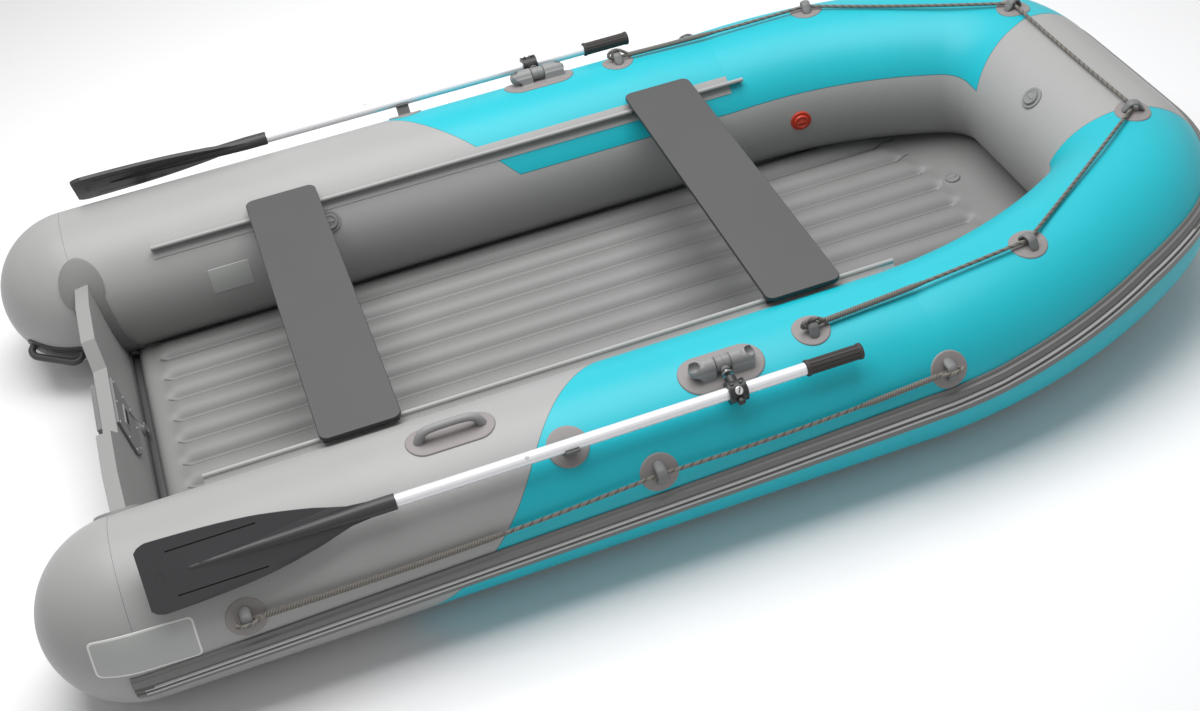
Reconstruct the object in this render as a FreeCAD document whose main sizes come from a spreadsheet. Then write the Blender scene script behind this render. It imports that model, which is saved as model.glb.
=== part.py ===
import FreeCAD, Part
import math
import os
import Sketcher

from FreeCAD import Placement, Rotation, Vector

# An inflatable rowing boat, in millimetres.
# +X runs to the bow, +Y to port and +Z up; the origin is under the middle of the hull.

doc = FreeCAD.newDocument("InflatableBoat")
sheet = doc.addObject("Spreadsheet::Sheet", "Dims")

DIMENSIONS = {
    "tube_radius": 207,
    "tube_offset": 620,
    "stern_tip": 1547.1,
    "cap_length": 215,
    "fold_x": 536,
    "shoulder_start": 550,
    "shoulder_radius": 1295,
    "shoulder_turn_angle": 30,
    "corner_radius": 280,
    "bow_rise_angle": 3.27,
    "fabric_patch": 3,
    "floor_channels": 11,
    "floor_pitch": 88,
    "floor_low": 44,
    "floor_high": 66,
    "floor_under": 20,
    "floor_skin": 6,
    "floor_aft": 1247,
    "nose_length": 337.5,
    "floor_slack": 1.5,
    "nose_top": 54,
    "nose_climb": 42,
    "board_thickness": 36,
    "board_foot": 1267,
    "board_rake_angle": 6.5,
    "board_bottom": 24,
    "board_end_height": 325,
    "board_shoulder_height": 346,
    "board_notch_height": 288,
    "board_notch_half": 128,
    "board_notch_slope": 55,
    "board_step_inner": 330,
    "board_step_outer": 460,
    "plate_width": 176,
    "plate_height": 150,
    "plate_chamfer": 34,
    "plate_drop": 3,
    "window_width": 62,
    "window_height": 20,
    "holder_radius": 56,
    "holder_skin": 6,
    "holder_neck": 26,
    "holder_foot": 58,
    "inner_plate_thickness": 7,
    "outer_plate_thickness": 14,
    "rail_angle": 45,
    "rail_stand": 19,
    "rail_strip_width": 52,
    "rail_strip": 2,
    "rail_flange": 3,
    "rail_aft": 1120,
    "rail_forward": 563,
    "bead_radius": 6,
    "bead_gap": 0.08,
    "flange_gap": 1.3,
    "slider_wall": 3.2,
    "slider_inset": 6,
    "slider_block": 24,
    "seat_overhang": 39.8,
    "seat_width": 190,
    "seat_thickness": 12,
    "seat_stand": 21.2,
    "seat_corner": 22,
    "aft_seat_x": 758,
    "forward_seat_x": 318,
    "rub_width": 77,
    "rub_edge": 4,
    "rub_band": 9,
    "rub_bead": 14,
    "rub_bead_width": 7,
    "rub_lip": 6,
    "rub_bead_low": 12.5,
    "rub_bead_high": 3.5,
    "rub_joint": 0.6,
    "rub_aft": 1372,
    "rub_stern_drop": 32,
    "rub_fold_lift": 14,
    "rub_bow_lift": 68,
    "eye_patch_radius": 44,
    "eye_band_width": 24,
    "bow_eye_aft": 262,
    "bow_eye_angle": 9,
    "bow_eye_heading_angle": 13.3,
    "corner_eye_heading_angle": 72,
    "corner_eye_angle": 4,
    "side_eye_aft": 1106,
    "side_eye_middle": 176,
    "side_eye_fore": 531,
    "side_eye_aft_angle": 72,
    "side_eye_middle_angle": 66.5,
    "side_eye_fore_angle": 62,
    "eye_hole_radius": 7,
    "eye_height": 14,
    "splice_radius": 8,
    "bow_splice_length": 150,
    "side_splice_length": 190,
    "rope_radius": 5,
    "oarlock_x": 32,
    "oarlock_angle": 16,
    "oarlock_patch_length": 200,
    "oarlock_patch_width": 95,
    "bearing_gap": 0.05,
    "barrel_radius": 17,
    "barrel_length": 34,
    "barrel_stand": 24,
    "trunnion_radius": 9,
    "lug_length": 56,
    "lug_radius": 19,
    "lug_width": 44,
    "lug_slope_angle": 50,
    "scoop_radius": 13,
    "oar_stand": 43.9,
    "oar_angle": 35.6,
    "shaft_radius": 14.5,
    "grip_radius": 17.5,
    "grip_rim": 1.5,
    "grip_grooves": 12,
    "collar_radius": 24,
    "collar_length": 42,
    "pin_radius": 5,
    "oar_aft": 1279,
    "shaft_aft": 800,
    "grip_start": 196,
    "grip_end": 332,
    "blade_width": 152,
    "blade_thickness": 9,
    "blade_tilt_angle": 52,
    "floor_valve_back": 281.5,
    "floor_valve_side": 136,
    "valve_flange_radius": 30,
    "valve_cap_radius": 19,
    "valve_cap_height": 10,
    "side_valve_x": 652,
    "side_valve_angle": 61,
    "bow_valve_angle": 42,
    "bow_valve_side": 46,
    "relief_valve_heading_angle": 9.1,
    "blade_slot_length": 190,
    "blade_slot_width": 3,
    "blade_socket_radius": 18,
    "cradle_x": 353,
    "cradle_angle": 34,
    "cradle_patch_radius": 46,
    "cradle_length": 34,
    "cradle_wall": 5.5,
    "cradle_gap": 1.5,
    "carry_handle_x": 582,
    "carry_handle_span": 132,
    "carry_handle_height": 32,
    "carry_handle_radius": 9,
    "carry_patch_length": 200,
    "carry_patch_width": 84,
    "stern_patch": 4,
    "stern_patch_length": 186,
    "stern_patch_width": 66,
    "stern_handle_height": 34,
    "stern_handle_radius": 10,
    "knob_radius": 9,
    "knob_height": 8,
    "washer_radius": 13,
    "washer_thickness": 3,
}

for row, (alias, number) in enumerate(DIMENSIONS.items(), start=1):
    sheet.set(f"A{row}", alias)
    sheet.set(f"B{row}", str(number))
    sheet.setAlias(f"B{row}", alias)
doc.recompute()


def dim(alias):
    """One driving dimension, as the sheet holds it."""
    return float(getattr(sheet, alias))


def bind(item, **sizes):
    """Bind properties of a document object to expressions on the sheet."""
    for name, expression in sizes.items():
        item.setExpression(name, expression)


def add(kind, name, **sizes):
    item = doc.addObject(kind, name)
    item.Label = name
    bind(item, **sizes)
    return item


sub_parts = []


def kept(item):
    """Note an object as a sub-part of the boat."""
    sub_parts.append(item)
    return item


def feature(name, shape):
    """A sub-part whose shape is worked out in code."""
    item = doc.addObject("Part::Feature", name)
    item.Label = name
    item.Shape = shape
    return kept(item)


def fuse(shapes):
    shapes = list(shapes)
    joined = shapes[0].multiFuse(shapes[1:]) if len(shapes) > 1 else shapes[0]
    return joined.removeSplitter()


def mirrored(name, source):
    """The starboard twin of a port sub-part."""
    item = doc.addObject("Part::Mirroring", name)
    item.Label = name
    item.Source = source
    item.Normal = Vector(0, 1, 0)
    return kept(item)


def across(shape):
    return shape.mirror(Vector(0, 0, 0), Vector(0, 1, 0))


# Buoyancy tube: where its centre line runs, and the solids of its stretches.
radius = dim("tube_radius")
offset = dim("tube_offset")
start = dim("shoulder_start")
turn = math.radians(dim("shoulder_turn_angle"))
wide = dim("shoulder_radius")
tight = dim("corner_radius")
shoulder_end = Vector(start + wide * math.sin(turn), offset - wide * (1 - math.cos(turn)), radius)
corner_centre = Vector(
    shoulder_end.x - tight * math.sin(turn), shoulder_end.y - tight * math.cos(turn), radius
)
bow_x = corner_centre.x + tight
rise = Placement(Vector(0, 0, 0), Rotation(Vector(0, 1, 0), -dim("bow_rise_angle")),
                 Vector(dim("fold_x"), 0, 0))
half_rise = Rotation(Vector(0, 1, 0), -dim("bow_rise_angle") / 2)
fold_plane = Placement(Vector(dim("fold_x"), 0, 0), half_rise)

# Room either side of the fold, wider and higher than the boat, that trims what crosses it.
trim_length = 2 * radius
trim_width = 4 * offset
trim_height = 8 * radius
trim_corner = Vector(0, -trim_width / 2, -trim_height / 2)
aft_of_fold = Part.makeBox(
    trim_length, trim_width, trim_height, trim_corner - Vector(trim_length, 0, 0))
aft_of_fold.Placement = fold_plane
fore_of_fold = add("Part::Box", "fore_of_fold")
fore_of_fold.Length = trim_length
fore_of_fold.Width = trim_width
fore_of_fold.Height = trim_height
fore_of_fold.Placement = fold_plane.multiply(Placement(trim_corner, Rotation()))
doc.recompute()


def raised(shape):
    """Turn a piece of the bow up about the fold line."""
    lifted = shape.copy()
    lifted.Placement = rise.multiply(lifted.Placement)
    return lifted


def station(heading, stretch):
    """Centre line point and outward direction at a heading, 0 being straight ahead."""
    outward = Vector(math.sin(heading), math.cos(heading), 0)
    if stretch == "shoulder":
        centre = Vector(start, offset - wide, radius)
        return centre + outward * wide, outward
    return corner_centre + outward * tight, outward


def disc(point, heading, size):
    ahead = Vector(math.cos(heading), -math.sin(heading), 0)
    return Part.Face(Part.Wire(Part.makeCircle(size, point, ahead)))


def shoulder_solid(size):
    """Port shoulder and corner as two bends, with a stub that the raised part is cut from."""
    stub_length = 0.3 * radius
    stub = Part.makeCylinder(
        size, stub_length, Vector(start - stub_length, offset, radius), Vector(1, 0, 0))
    first_point, _ = station(0, "shoulder")
    second_point, _ = station(turn, "corner")
    first = disc(first_point, 0, size).revolve(
        Vector(start, offset - wide, radius), Vector(0, 0, -1), math.degrees(turn))
    second = disc(second_point, turn, size).revolve(
        corner_centre, Vector(0, 0, -1), 90 - math.degrees(turn))
    return raised(fuse([stub, first, second])).cut(aft_of_fold)


def bow_solid(size):
    return raised(Part.makeCylinder(
        size, 2 * corner_centre.y, Vector(bow_x, -corner_centre.y, radius), Vector(0, 1, 0)))


def straight_solid(size, grow=0):
    """Port side tube and its blunt stern cap."""
    seam = -dim("stern_tip") + dim("cap_length")
    tube = Part.makeCylinder(size, start - seam, Vector(seam, offset, radius), Vector(1, 0, 0))
    cap = Part.makeSphere(size, Vector(0, 0, 0), Vector(1, 0, 0), -90, 0, 360)
    squash = FreeCAD.Matrix()
    squash.A11 = (dim("cap_length") + grow) / size
    cap = cap.transformGeometry(squash)
    cap.Placement = Placement(Vector(seam, offset, radius), Rotation())
    return fuse([tube, cap]).cut(fore_of_fold.Shape)


floor_nose = bow_x - dim("nose_length")
along_x = Rotation(Vector(0, 1, 0), 90)
side_cylinder = add("Part::Cylinder", "side_cylinder", Radius="Dims.tube_radius",
                    Height="Dims.shoulder_start + Dims.stern_tip - Dims.cap_length")
side_cylinder.Placement = Placement(
    Vector(-dim("stern_tip") + dim("cap_length"), offset, radius), along_x)
stern_cap = add("Part::Ellipsoid", "stern_cap", Radius1="Dims.cap_length",
                Radius2="Dims.tube_radius", Radius3="Dims.tube_radius")
stern_cap.Angle1 = -90
stern_cap.Angle2 = 0
stern_cap.Placement = side_cylinder.Placement
capped_tube = add("Part::Fuse", "capped_tube")
capped_tube.Base = side_cylinder
capped_tube.Tool = stern_cap
side_tube_port = kept(add("Part::Cut", "side_tube_port"))
side_tube_port.Base = capped_tube
side_tube_port.Tool = fore_of_fold
side_tube_starboard = mirrored("side_tube_starboard", side_tube_port)

shoulder_tube_port = feature("shoulder_tube_port", shoulder_solid(radius))
shoulder_tube_starboard = mirrored("shoulder_tube_starboard", shoulder_tube_port)
bow_tube = kept(add("Part::Cylinder", "bow_tube", Radius="Dims.tube_radius"))
bow_tube.Height = 2 * corner_centre.y
bow_tube.Placement = rise.multiply(Placement(
    Vector(bow_x, corner_centre.y, radius), Rotation(Vector(1, 0, 0), 90)))
doc.recompute()

half_hull = [side_tube_port.Shape, shoulder_tube_port.Shape, bow_tube.Shape]
whole_hull = half_hull + [side_tube_starboard.Shape, shoulder_tube_starboard.Shape]

# Floor: inflated channels along the boat over a flat skin, trimmed to the tubes.
channels = int(dim("floor_channels"))
pitch = dim("floor_pitch")
floor_half = channels * pitch / 2
FLOOR_TUCK = 90
BOARD_ROOM = 20


def floor_profile(x, low, high):
    """Cross-section of the floor: one arc to a channel over a flat underside."""
    edges = []
    corners = [Vector(x, -floor_half + pitch * i, low) for i in range(channels + 1)]
    for left, right in zip(corners, corners[1:]):
        crown = (left + right) * 0.5 + Vector(0, 0, high - low)
        edges.append(Part.Arc(left, crown, right).toShape())
    wide_half = floor_half + FLOOR_TUCK
    foot = dim("floor_under")
    rim = [corners[-1], Vector(x, wide_half, low), Vector(x, wide_half, foot),
           Vector(x, -wide_half, foot), Vector(x, -wide_half, low), corners[0]]
    edges += [Part.makeLine(a, b) for a, b in zip(rim, rim[1:])]
    return Part.Face(Part.Wire(edges))


low, high = dim("floor_low"), dim("floor_high")
ribbed_floor = floor_profile(-dim("floor_aft"), low, high).extrude(
    Vector(dim("floor_aft") + floor_nose, 0, 0))
nose_side = [
    Vector(floor_nose, -floor_half, dim("floor_under")),
    Vector(floor_nose, -floor_half, dim("nose_top")),
    Vector(bow_x, -floor_half, dim("nose_top") + dim("nose_climb")),
    Vector(bow_x, -floor_half, dim("floor_under") + dim("nose_climb")),
]
nose = Part.Face(Part.makePolygon(nose_side + nose_side[:1])).extrude(Vector(0, 2 * floor_half, 0))
skin_aft = dim("board_foot") + BOARD_ROOM
skin = Part.makeBox(start + skin_aft, 2 * (floor_half + FLOOR_TUCK), dim("floor_skin"),
                    Vector(-skin_aft, -floor_half - FLOOR_TUCK, dim("floor_under")))
slack = dim("floor_slack")
fore_room = [shoulder_solid(radius + slack), bow_solid(radius + slack)]
fore_room.append(across(fore_room[0]))
floor_blank = fuse([ribbed_floor, nose, skin])
floor_cut = floor_blank.cut([side_tube_port.Shape, side_tube_starboard.Shape] + fore_room)
floor_shape = max(floor_cut.Solids, key=lambda solid: solid.Volume)
floor_panel = feature("floor_panel", floor_shape)

# Transom board between the tubes, raked aft, with a dip where the motor hangs.
rake = Rotation(Vector(0, 1, 0), -dim("board_rake_angle"))
board_place = Placement(
    Vector(-dim("board_foot"), 0, dim("floor_under") + dim("floor_skin")), rake)


def on_board(across_boat, up, depth=0):
    """A point on the board: port distance, height up the face, depth behind it."""
    return board_place.multVec(Vector(-depth, across_boat, up))


board_base = dim("floor_under") + dim("floor_skin")
BOARD_BLANK = 560
board_side = [
    (dim("board_notch_half"), dim("board_notch_height")),
    (dim("board_notch_half") + dim("board_notch_slope"), dim("board_shoulder_height")),
    (dim("board_step_inner"), dim("board_shoulder_height")),
    (dim("board_step_outer"), dim("board_end_height")),
    (BOARD_BLANK, dim("board_end_height")),
    (BOARD_BLANK, board_base),
]
board_outline = [(across_boat, height - board_base) for across_boat, height in board_side]
board_outline += [(-across_boat, up) for across_boat, up in reversed(board_outline)]


def board_prism(outline, near, far):
    """Extrude an outline on the board's face, from depth near to depth far."""
    points = [on_board(a, b, near) for a, b in outline]
    face = Part.Face(Part.makePolygon(points + points[:1]))
    return face.extrude(on_board(0, 0, far) - on_board(0, 0, near))


board_blank = board_prism(board_outline, 0, dim("board_thickness"))
transom_board = feature("transom_board", board_blank.cut(whole_hull + [floor_panel.Shape]))

half_plate = dim("plate_width") / 2
plate_top = dim("board_notch_height") - board_base - dim("plate_drop")
plate_foot = plate_top - dim("plate_height")
chamfer = dim("plate_chamfer")
inner_outline = [(-half_plate + chamfer, plate_foot), (half_plate - chamfer, plate_foot),
                 (half_plate, plate_foot + chamfer), (half_plate, plate_top),
                 (-half_plate, plate_top), (-half_plate, plate_foot + chamfer)]
window_low = (plate_foot + plate_top) / 2
window_half = dim("window_width") / 2
window_top = window_low + dim("window_height")
window_outline = [(-window_half, window_low), (window_half, window_low),
                  (window_half, window_top), (-window_half, window_top)]
inner_depth = -dim("inner_plate_thickness")
motor_plate_inner = feature("motor_plate_inner", board_prism(inner_outline, inner_depth, 0).cut(
    board_prism(window_outline, inner_depth - 1, inner_depth + 4)))
behind = dim("board_thickness")
motor_plate_outer = kept(add(
    "Part::Box", "motor_plate_outer", Length="Dims.outer_plate_thickness",
    Width="Dims.plate_width", Height="Dims.plate_height"))
motor_plate_outer.Placement = board_place.multiply(Placement(
    Vector(-behind - dim("outer_plate_thickness"), -half_plate, plate_foot), Rotation()))
doc.recompute()

# Drain valve: a flange and a screwed cap on the board's inner face, port of the plate.
DRAIN_ACROSS = 122
DRAIN_UP = 42
drain_point = on_board(DRAIN_ACROSS, DRAIN_UP)
drain_out = on_board(DRAIN_ACROSS, DRAIN_UP, -1) - drain_point
DRAIN_FLANGE = (22, 5)
DRAIN_CAP = (15, 12)
drain_valve = feature("drain_valve", fuse(
    Part.makeCylinder(size, height, drain_point, drain_out)
    for size, height in (DRAIN_FLANGE, DRAIN_CAP)))

# Fabric and rubber that hugs the tube: a prism along the surface normal, kept between two radii.
patch = dim("fabric_patch")


def shells(thickness):
    outer = [straight_solid(radius + thickness, thickness), shoulder_solid(radius + thickness),
             bow_solid(radius + thickness)]
    return outer


patch_shell = shells(patch)


def hugging(prism, *stretches):
    """The part of a prism that lies in the skin of the port tube, by stretch."""
    order = {"straight": 0, "shoulder": 1, "bow": 2}
    return fuse([prism.common(patch_shell[order[s]]) for s in stretches]).cut(half_hull)


# Where the fittings sit: a point of the port tube's surface and the way out of it.
def on_side(x, angle, stand=0):
    """Straight stretch: angle from the top towards the outside, in degrees."""
    turn_out = math.radians(angle)
    normal = Vector(0, math.sin(turn_out), math.cos(turn_out))
    return Vector(x, offset, radius) + normal * (radius + stand), normal


def on_bend(heading, angle, stretch, stand=0):
    """Raised bends: heading along the bend, angle from the top towards the outside."""
    point, outward = station(math.radians(heading), stretch)
    turn_out = math.radians(angle)
    normal = outward * math.sin(turn_out) + Vector(0, 0, math.cos(turn_out))
    place = rise.multVec(point + normal * (radius + stand))
    return place, rise.Rotation.multVec(normal)


# Transom holders: keyhole mouldings on the inner faces of the tubes round the board's ends.
holder_skin = dim("holder_skin")
holder_shell = straight_solid(radius + holder_skin, holder_skin)
holder_top = dim("board_end_height") - board_base
holder_from = offset - 1.5 * radius
holder_run = Vector(0, 1.2 * radius, 0)
holder_disc = Part.makeCylinder(
    dim("holder_radius"), holder_run.y, on_board(holder_from, holder_top, behind / 2),
    Vector(0, 1, 0))
neck, foot_flare = dim("holder_neck"), dim("holder_foot")
ankle = neck + (foot_flare - neck) / 4
leg_side = [on_board(holder_from, up, depth) for up, depth in (
    (0, -foot_flare), (holder_top / 5, -ankle), (holder_top / 2, -neck), (holder_top, -neck),
    (holder_top, behind + neck), (0, behind + neck))]
holder_leg = Part.Face(Part.makePolygon(leg_side + leg_side[:1])).extrude(holder_run)
holder_port = fuse([holder_disc, holder_leg]).common(holder_shell)
holder_port = holder_port.cut([side_tube_port.Shape, transom_board.Shape, floor_panel.Shape])
transom_holder_port = feature("transom_holder_port", holder_port)
transom_holder_starboard = mirrored("transom_holder_starboard", transom_holder_port)

# Rub rail: a strip with two beads round the outside, in three lengths that butt at the fold. It
# climbs towards the bow, so slabs that lean with the climb cut it from rings round the tube.
SECTOR_TOP = math.radians(40)
SECTOR_FOOT = math.radians(130)


def sector(point, outward, thickness):
    """Section of a ring on the tube's outer side, from well above the strip to well below it."""
    def spot(angle, reach):
        return point + outward * (reach * math.sin(angle)) + Vector(0, 0, reach * math.cos(angle))

    outer = radius + thickness
    middle = (SECTOR_TOP + SECTOR_FOOT) / 2
    inside = Part.Arc(spot(SECTOR_TOP, radius), spot(middle, radius), spot(SECTOR_FOOT, radius))
    outside = Part.Arc(spot(SECTOR_FOOT, outer), spot(middle, outer), spot(SECTOR_TOP, outer))
    edges = [inside.toShape(), Part.makeLine(inside.EndPoint, outside.StartPoint),
             outside.toShape(), Part.makeLine(outside.EndPoint, inside.StartPoint)]
    return Part.Face(Part.Wire(edges))


def side_ring(thickness):
    foot = Vector(-dim("rub_aft"), offset, radius)
    length = start + dim("rub_aft")
    return sector(foot, Vector(0, 1, 0), thickness).extrude(Vector(length, 0, 0))


def fore_ring(thickness):
    """The ring round both shoulders and the bow, unraised."""
    first_point, first_out = station(0, "shoulder")
    second_point, second_out = station(turn, "corner")
    stub = Vector(0.3 * radius, 0, 0)
    half = fuse([
        sector(first_point - stub, first_out, thickness).extrude(stub),
        sector(first_point, first_out, thickness).revolve(
            Vector(start, offset - wide, radius), Vector(0, 0, -1), math.degrees(turn)),
        sector(second_point, second_out, thickness).revolve(
            corner_centre, Vector(0, 0, -1), 90 - math.degrees(turn)),
        sector(Vector(bow_x, 0, radius), Vector(1, 0, 0), thickness).extrude(
            Vector(0, corner_centre.y, 0))])
    return fuse([half, across(half)])


half_strip = dim("rub_width") / 2
half_bead = dim("rub_bead_width") / 2
rub_layers = [(-half_strip, half_strip, dim("rub_edge")),
              (-half_strip + dim("rub_lip"), half_strip - dim("rub_lip"), dim("rub_band"))]
for bead_middle in (-dim("rub_bead_low"), dim("rub_bead_high")):
    rub_layers.append((bead_middle - half_bead, bead_middle + half_bead, dim("rub_bead")))


def leaning_strip(ring, first, second):
    """Layers of the strip, cut from rings by slabs that lean from one height to another."""
    way = second - first
    layers = []
    for low_edge, high_edge, thickness in rub_layers:
        slab = Part.makeBox(3 * way.Length, trim_width, high_edge - low_edge,
                            Vector(-way.Length, -trim_width / 2, low_edge))
        slab.Placement = Placement(first, Rotation(Vector(1, 0, 0), way))
        layers.append(ring(thickness).common(slab))
    return fuse(layers)


stern_middle = Vector(-dim("rub_aft"), 0, radius - dim("rub_stern_drop"))
fold_middle = Vector(dim("fold_x"), 0, radius + dim("rub_fold_lift"))
bow_middle = Vector(bow_x + radius, 0, radius + dim("rub_bow_lift"))
half_joint = Vector(dim("rub_joint") / 2, 0, 0)
side_strip = leaning_strip(side_ring, stern_middle, fold_middle)
side_strip = side_strip.cut(fore_of_fold.Shape.translated(half_joint * -1))
bow_strip = raised(leaning_strip(fore_ring, fold_middle, bow_middle))
bow_strip = bow_strip.cut(aft_of_fold.translated(half_joint))
rub_rail = feature("rub_rail", Part.makeCompound([side_strip, across(side_strip), bow_strip]))

# Seat rails: a glued strip, a flange and the bead that the seats' sliders grip.
rail_angle = -dim("rail_angle")
bead_stand = dim("rail_stand")
rail_run = dim("rail_aft") + dim("rail_forward")
rail_from = -dim("rail_aft")
bead_centre, rail_normal = on_side(rail_from, rail_angle, bead_stand)
rail_foot, _ = on_side(rail_from, rail_angle)
rail_side = Vector(0, rail_normal.z, -rail_normal.y)


def rail_block(half_thickness, inner, outer):
    """A flat run along the rail, between two distances out from the tube."""
    corners = [rail_foot + rail_side * s * half_thickness + rail_normal * d
               for s, d in ((-1, inner), (1, inner), (1, outer), (-1, outer))]
    return Part.Face(Part.makePolygon(corners + corners[:1])).extrude(Vector(rail_run, 0, 0))


strip_half = dim("rail_strip_width") / 2
STRIP_BLANK = 60
strip_prism = Part.makeBox(
    rail_run, 2 * strip_half, STRIP_BLANK, Vector(0, -strip_half, -STRIP_BLANK / 2))
strip_prism.Placement = Placement(
    rail_foot, Rotation(Vector(1, 0, 0), Vector(0, 1, 0), rail_normal, "XZY"))
strip_skin = dim("rail_strip")
rail_strip = strip_prism.common(straight_solid(radius + strip_skin, strip_skin))
rail_strip = rail_strip.cut(side_tube_port.Shape)
half_flange = dim("rail_flange") / 2
rail_flange = rail_block(half_flange, -1, bead_stand)
rail_bead = Part.makeCylinder(dim("bead_radius"), rail_run, bead_centre, Vector(1, 0, 0))
seat_rail_port = feature(
    "seat_rail_port", fuse([rail_strip, rail_flange.cut(half_hull), rail_bead]))
seat_rail_starboard = mirrored("seat_rail_starboard", seat_rail_port)

# Seats: rounded planks on two slotted sliders that run along the beads.
seat_under = bead_centre.z + dim("seat_stand")
SEAT_LENGTH = ("2 * (Dims.tube_offset + Dims.seat_overhang"
               " - (Dims.tube_radius + Dims.rail_stand) * sin(Dims.rail_angle * 1deg))")


def seat_plank(name, centre_x):
    body = doc.addObject("PartDesign::Body", name)
    body.Label = name
    sketch = body.newObject("Sketcher::SketchObject", name + "_outline")
    level = next(f for f in body.Origin.OriginFeatures if f.Role == "XY_Plane")
    sketch.AttachmentSupport = [(level, "")]
    sketch.MapMode = "FlatFace"
    half_x, half_y = dim("seat_width") / 2, bead_centre.y + dim("seat_overhang")
    corners = [Vector(-half_x, -half_y), Vector(half_x, -half_y),
               Vector(half_x, half_y), Vector(-half_x, half_y)]
    for a, b in zip(corners, corners[1:] + corners[:1]):
        sketch.addGeometry(Part.LineSegment(a, b), False)
    for i in range(4):
        sketch.addConstraint(Sketcher.Constraint("Coincident", i, 2, (i + 1) % 4, 1))
    sketch.addConstraint([Sketcher.Constraint("Horizontal", 0), Sketcher.Constraint("Vertical", 1),
                          Sketcher.Constraint("Horizontal", 2), Sketcher.Constraint("Vertical", 3),
                          Sketcher.Constraint("Symmetric", 0, 1, 1, 2, -1, 1)])
    across_size = sketch.addConstraint(Sketcher.Constraint("DistanceX", 0, 1, 0, 2, 2 * half_x))
    length_size = sketch.addConstraint(Sketcher.Constraint("DistanceY", 1, 1, 1, 2, 2 * half_y))
    sketch.setExpression(f"Constraints[{across_size}]", "Dims.seat_width")
    sketch.setExpression(f"Constraints[{length_size}]", SEAT_LENGTH)
    pad = body.newObject("PartDesign::Pad", name + "_plank")
    pad.Profile = sketch
    bind(pad, Length="Dims.seat_thickness")
    doc.recompute()
    uprights = [f"Edge{i + 1}" for i, edge in enumerate(pad.Shape.Edges)
                if abs(edge.tangentAt(edge.FirstParameter).z) > 0.99]
    fillet = body.newObject("PartDesign::Fillet", name + "_corners")
    fillet.Base = (pad, uprights)
    bind(fillet, Radius="Dims.seat_corner")
    body.Tip = fillet
    body.Placement = Placement(Vector(centre_x, 0, seat_under), Rotation())
    return kept(body)


def slider_solid(centre_x):
    """One slotted channel round the bead, hung from the plank by a block."""
    half = dim("seat_width") / 2 - dim("slider_inset")
    centre = Vector(centre_x - half, bead_centre.y, bead_centre.z)
    inner = dim("bead_radius") + dim("bead_gap")
    ring = Part.makeCylinder(inner + dim("slider_wall"), 2 * half, centre, Vector(1, 0, 0))
    block_width = dim("slider_block")
    block = Part.makeBox(2 * half, block_width, seat_under - centre.z,
                         Vector(centre.x, centre.y - block_width / 3, centre.z))
    bore = Part.makeCylinder(inner, 2 * half, centre, Vector(1, 0, 0))
    mouth_half = half_flange + dim("flange_gap")
    mouth = [centre + rail_side * s * mouth_half - rail_normal * d
             for s, d in ((-1, 0), (1, 0), (1, 2 * bead_stand), (-1, 2 * bead_stand))]
    slot = Part.Face(Part.makePolygon(mouth + mouth[:1])).extrude(Vector(2 * half, 0, 0))
    return fuse([ring, block]).cut([bore, slot])


for seat_name, seat_x in (("seat_aft", -dim("aft_seat_x")), ("seat_forward", dim("forward_seat_x"))):
    seat_plank(seat_name, seat_x)
    slider = slider_solid(seat_x)
    feature(seat_name + "_sliders", Part.makeCompound([slider, across(slider)]))

# Oarlocks: a patch, two bored lugs and, between them, a barrel that rolls along the boat.
lock_x = dim("oarlock_x")
lock_centre, lock_normal = on_side(lock_x, dim("oarlock_angle"), dim("barrel_stand"))
lock_foot, _ = on_side(lock_x, dim("oarlock_angle"))
lock_turn = Rotation(Vector(1, 0, 0), Vector(0, 1, 0), lock_normal, "XZY")


def stadium(length, width, foot, rotation, reach=80):
    """A long rounded prism about a surface normal."""
    half = length / 2 - width / 2
    ends = [Part.makeCylinder(width / 2, reach, Vector(s * half, 0, -reach / 2)) for s in (-1, 1)]
    middle = Part.makeBox(2 * half, width, reach, Vector(-half, -width / 2, -reach / 2))
    shape = fuse(ends + [middle])
    shape.Placement = Placement(foot, rotation)
    return shape


lock_patch = hugging(stadium(
    dim("oarlock_patch_length"), dim("oarlock_patch_width"), lock_foot, lock_turn), "straight")
LUG_SINK = 20
LUG_CLEAR = 1
TRUNNION_REACH = 33
lug_bore = dim("trunnion_radius") + dim("bearing_gap")
bore_depth = TRUNNION_REACH + 7


def lug(side):
    """Half-round bearing block with a stub of the bore for the barrel's trunnion."""
    inner = lock_x + side * (dim("barrel_length") / 2 + LUG_CLEAR)
    length = dim("lug_length")
    width = dim("lug_width")
    depth = dim("barrel_stand") + LUG_SINK
    first = Vector(min(inner, inner + side * length), lock_centre.y, lock_centre.z)
    top = Part.makeCylinder(dim("lug_radius"), length, first, Vector(1, 0, 0))
    foot = Part.makeBox(length, width, depth, Vector(-length / 2, -width / 2, -depth))
    foot.Placement = Placement(first + Vector(length / 2, 0, 0), lock_turn)
    mouth = Vector(min(inner, inner + side * bore_depth), lock_centre.y, lock_centre.z)
    bore = Part.makeCylinder(lug_bore, bore_depth, mouth, Vector(1, 0, 0))
    tip = Vector(inner + side * length, lock_centre.y, lock_centre.z)
    slope = Part.makeBox(length, 2 * width, length, Vector(-4, -width, 0))
    slope.Placement = Placement(tip + lock_normal * 2, lock_turn.multiply(
        Rotation(Vector(0, 1, 0), 90 - side * dim("lug_slope_angle"))))
    scoop = Part.makeSphere(
        dim("scoop_radius"), tip - Vector(side * (dim("scoop_radius") + 2), 0, 0)
        + lock_normal * dim("lug_radius"))
    return fuse([top, foot]).cut([bore, slope, scoop, side_tube_port.Shape, lock_patch])


oarlock_base_port = feature(
    "oarlock_base_port", fuse([lock_patch, lug(-1), lug(1)]))
oarlock_base_starboard = mirrored("oarlock_base_starboard", oarlock_base_port)

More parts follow.
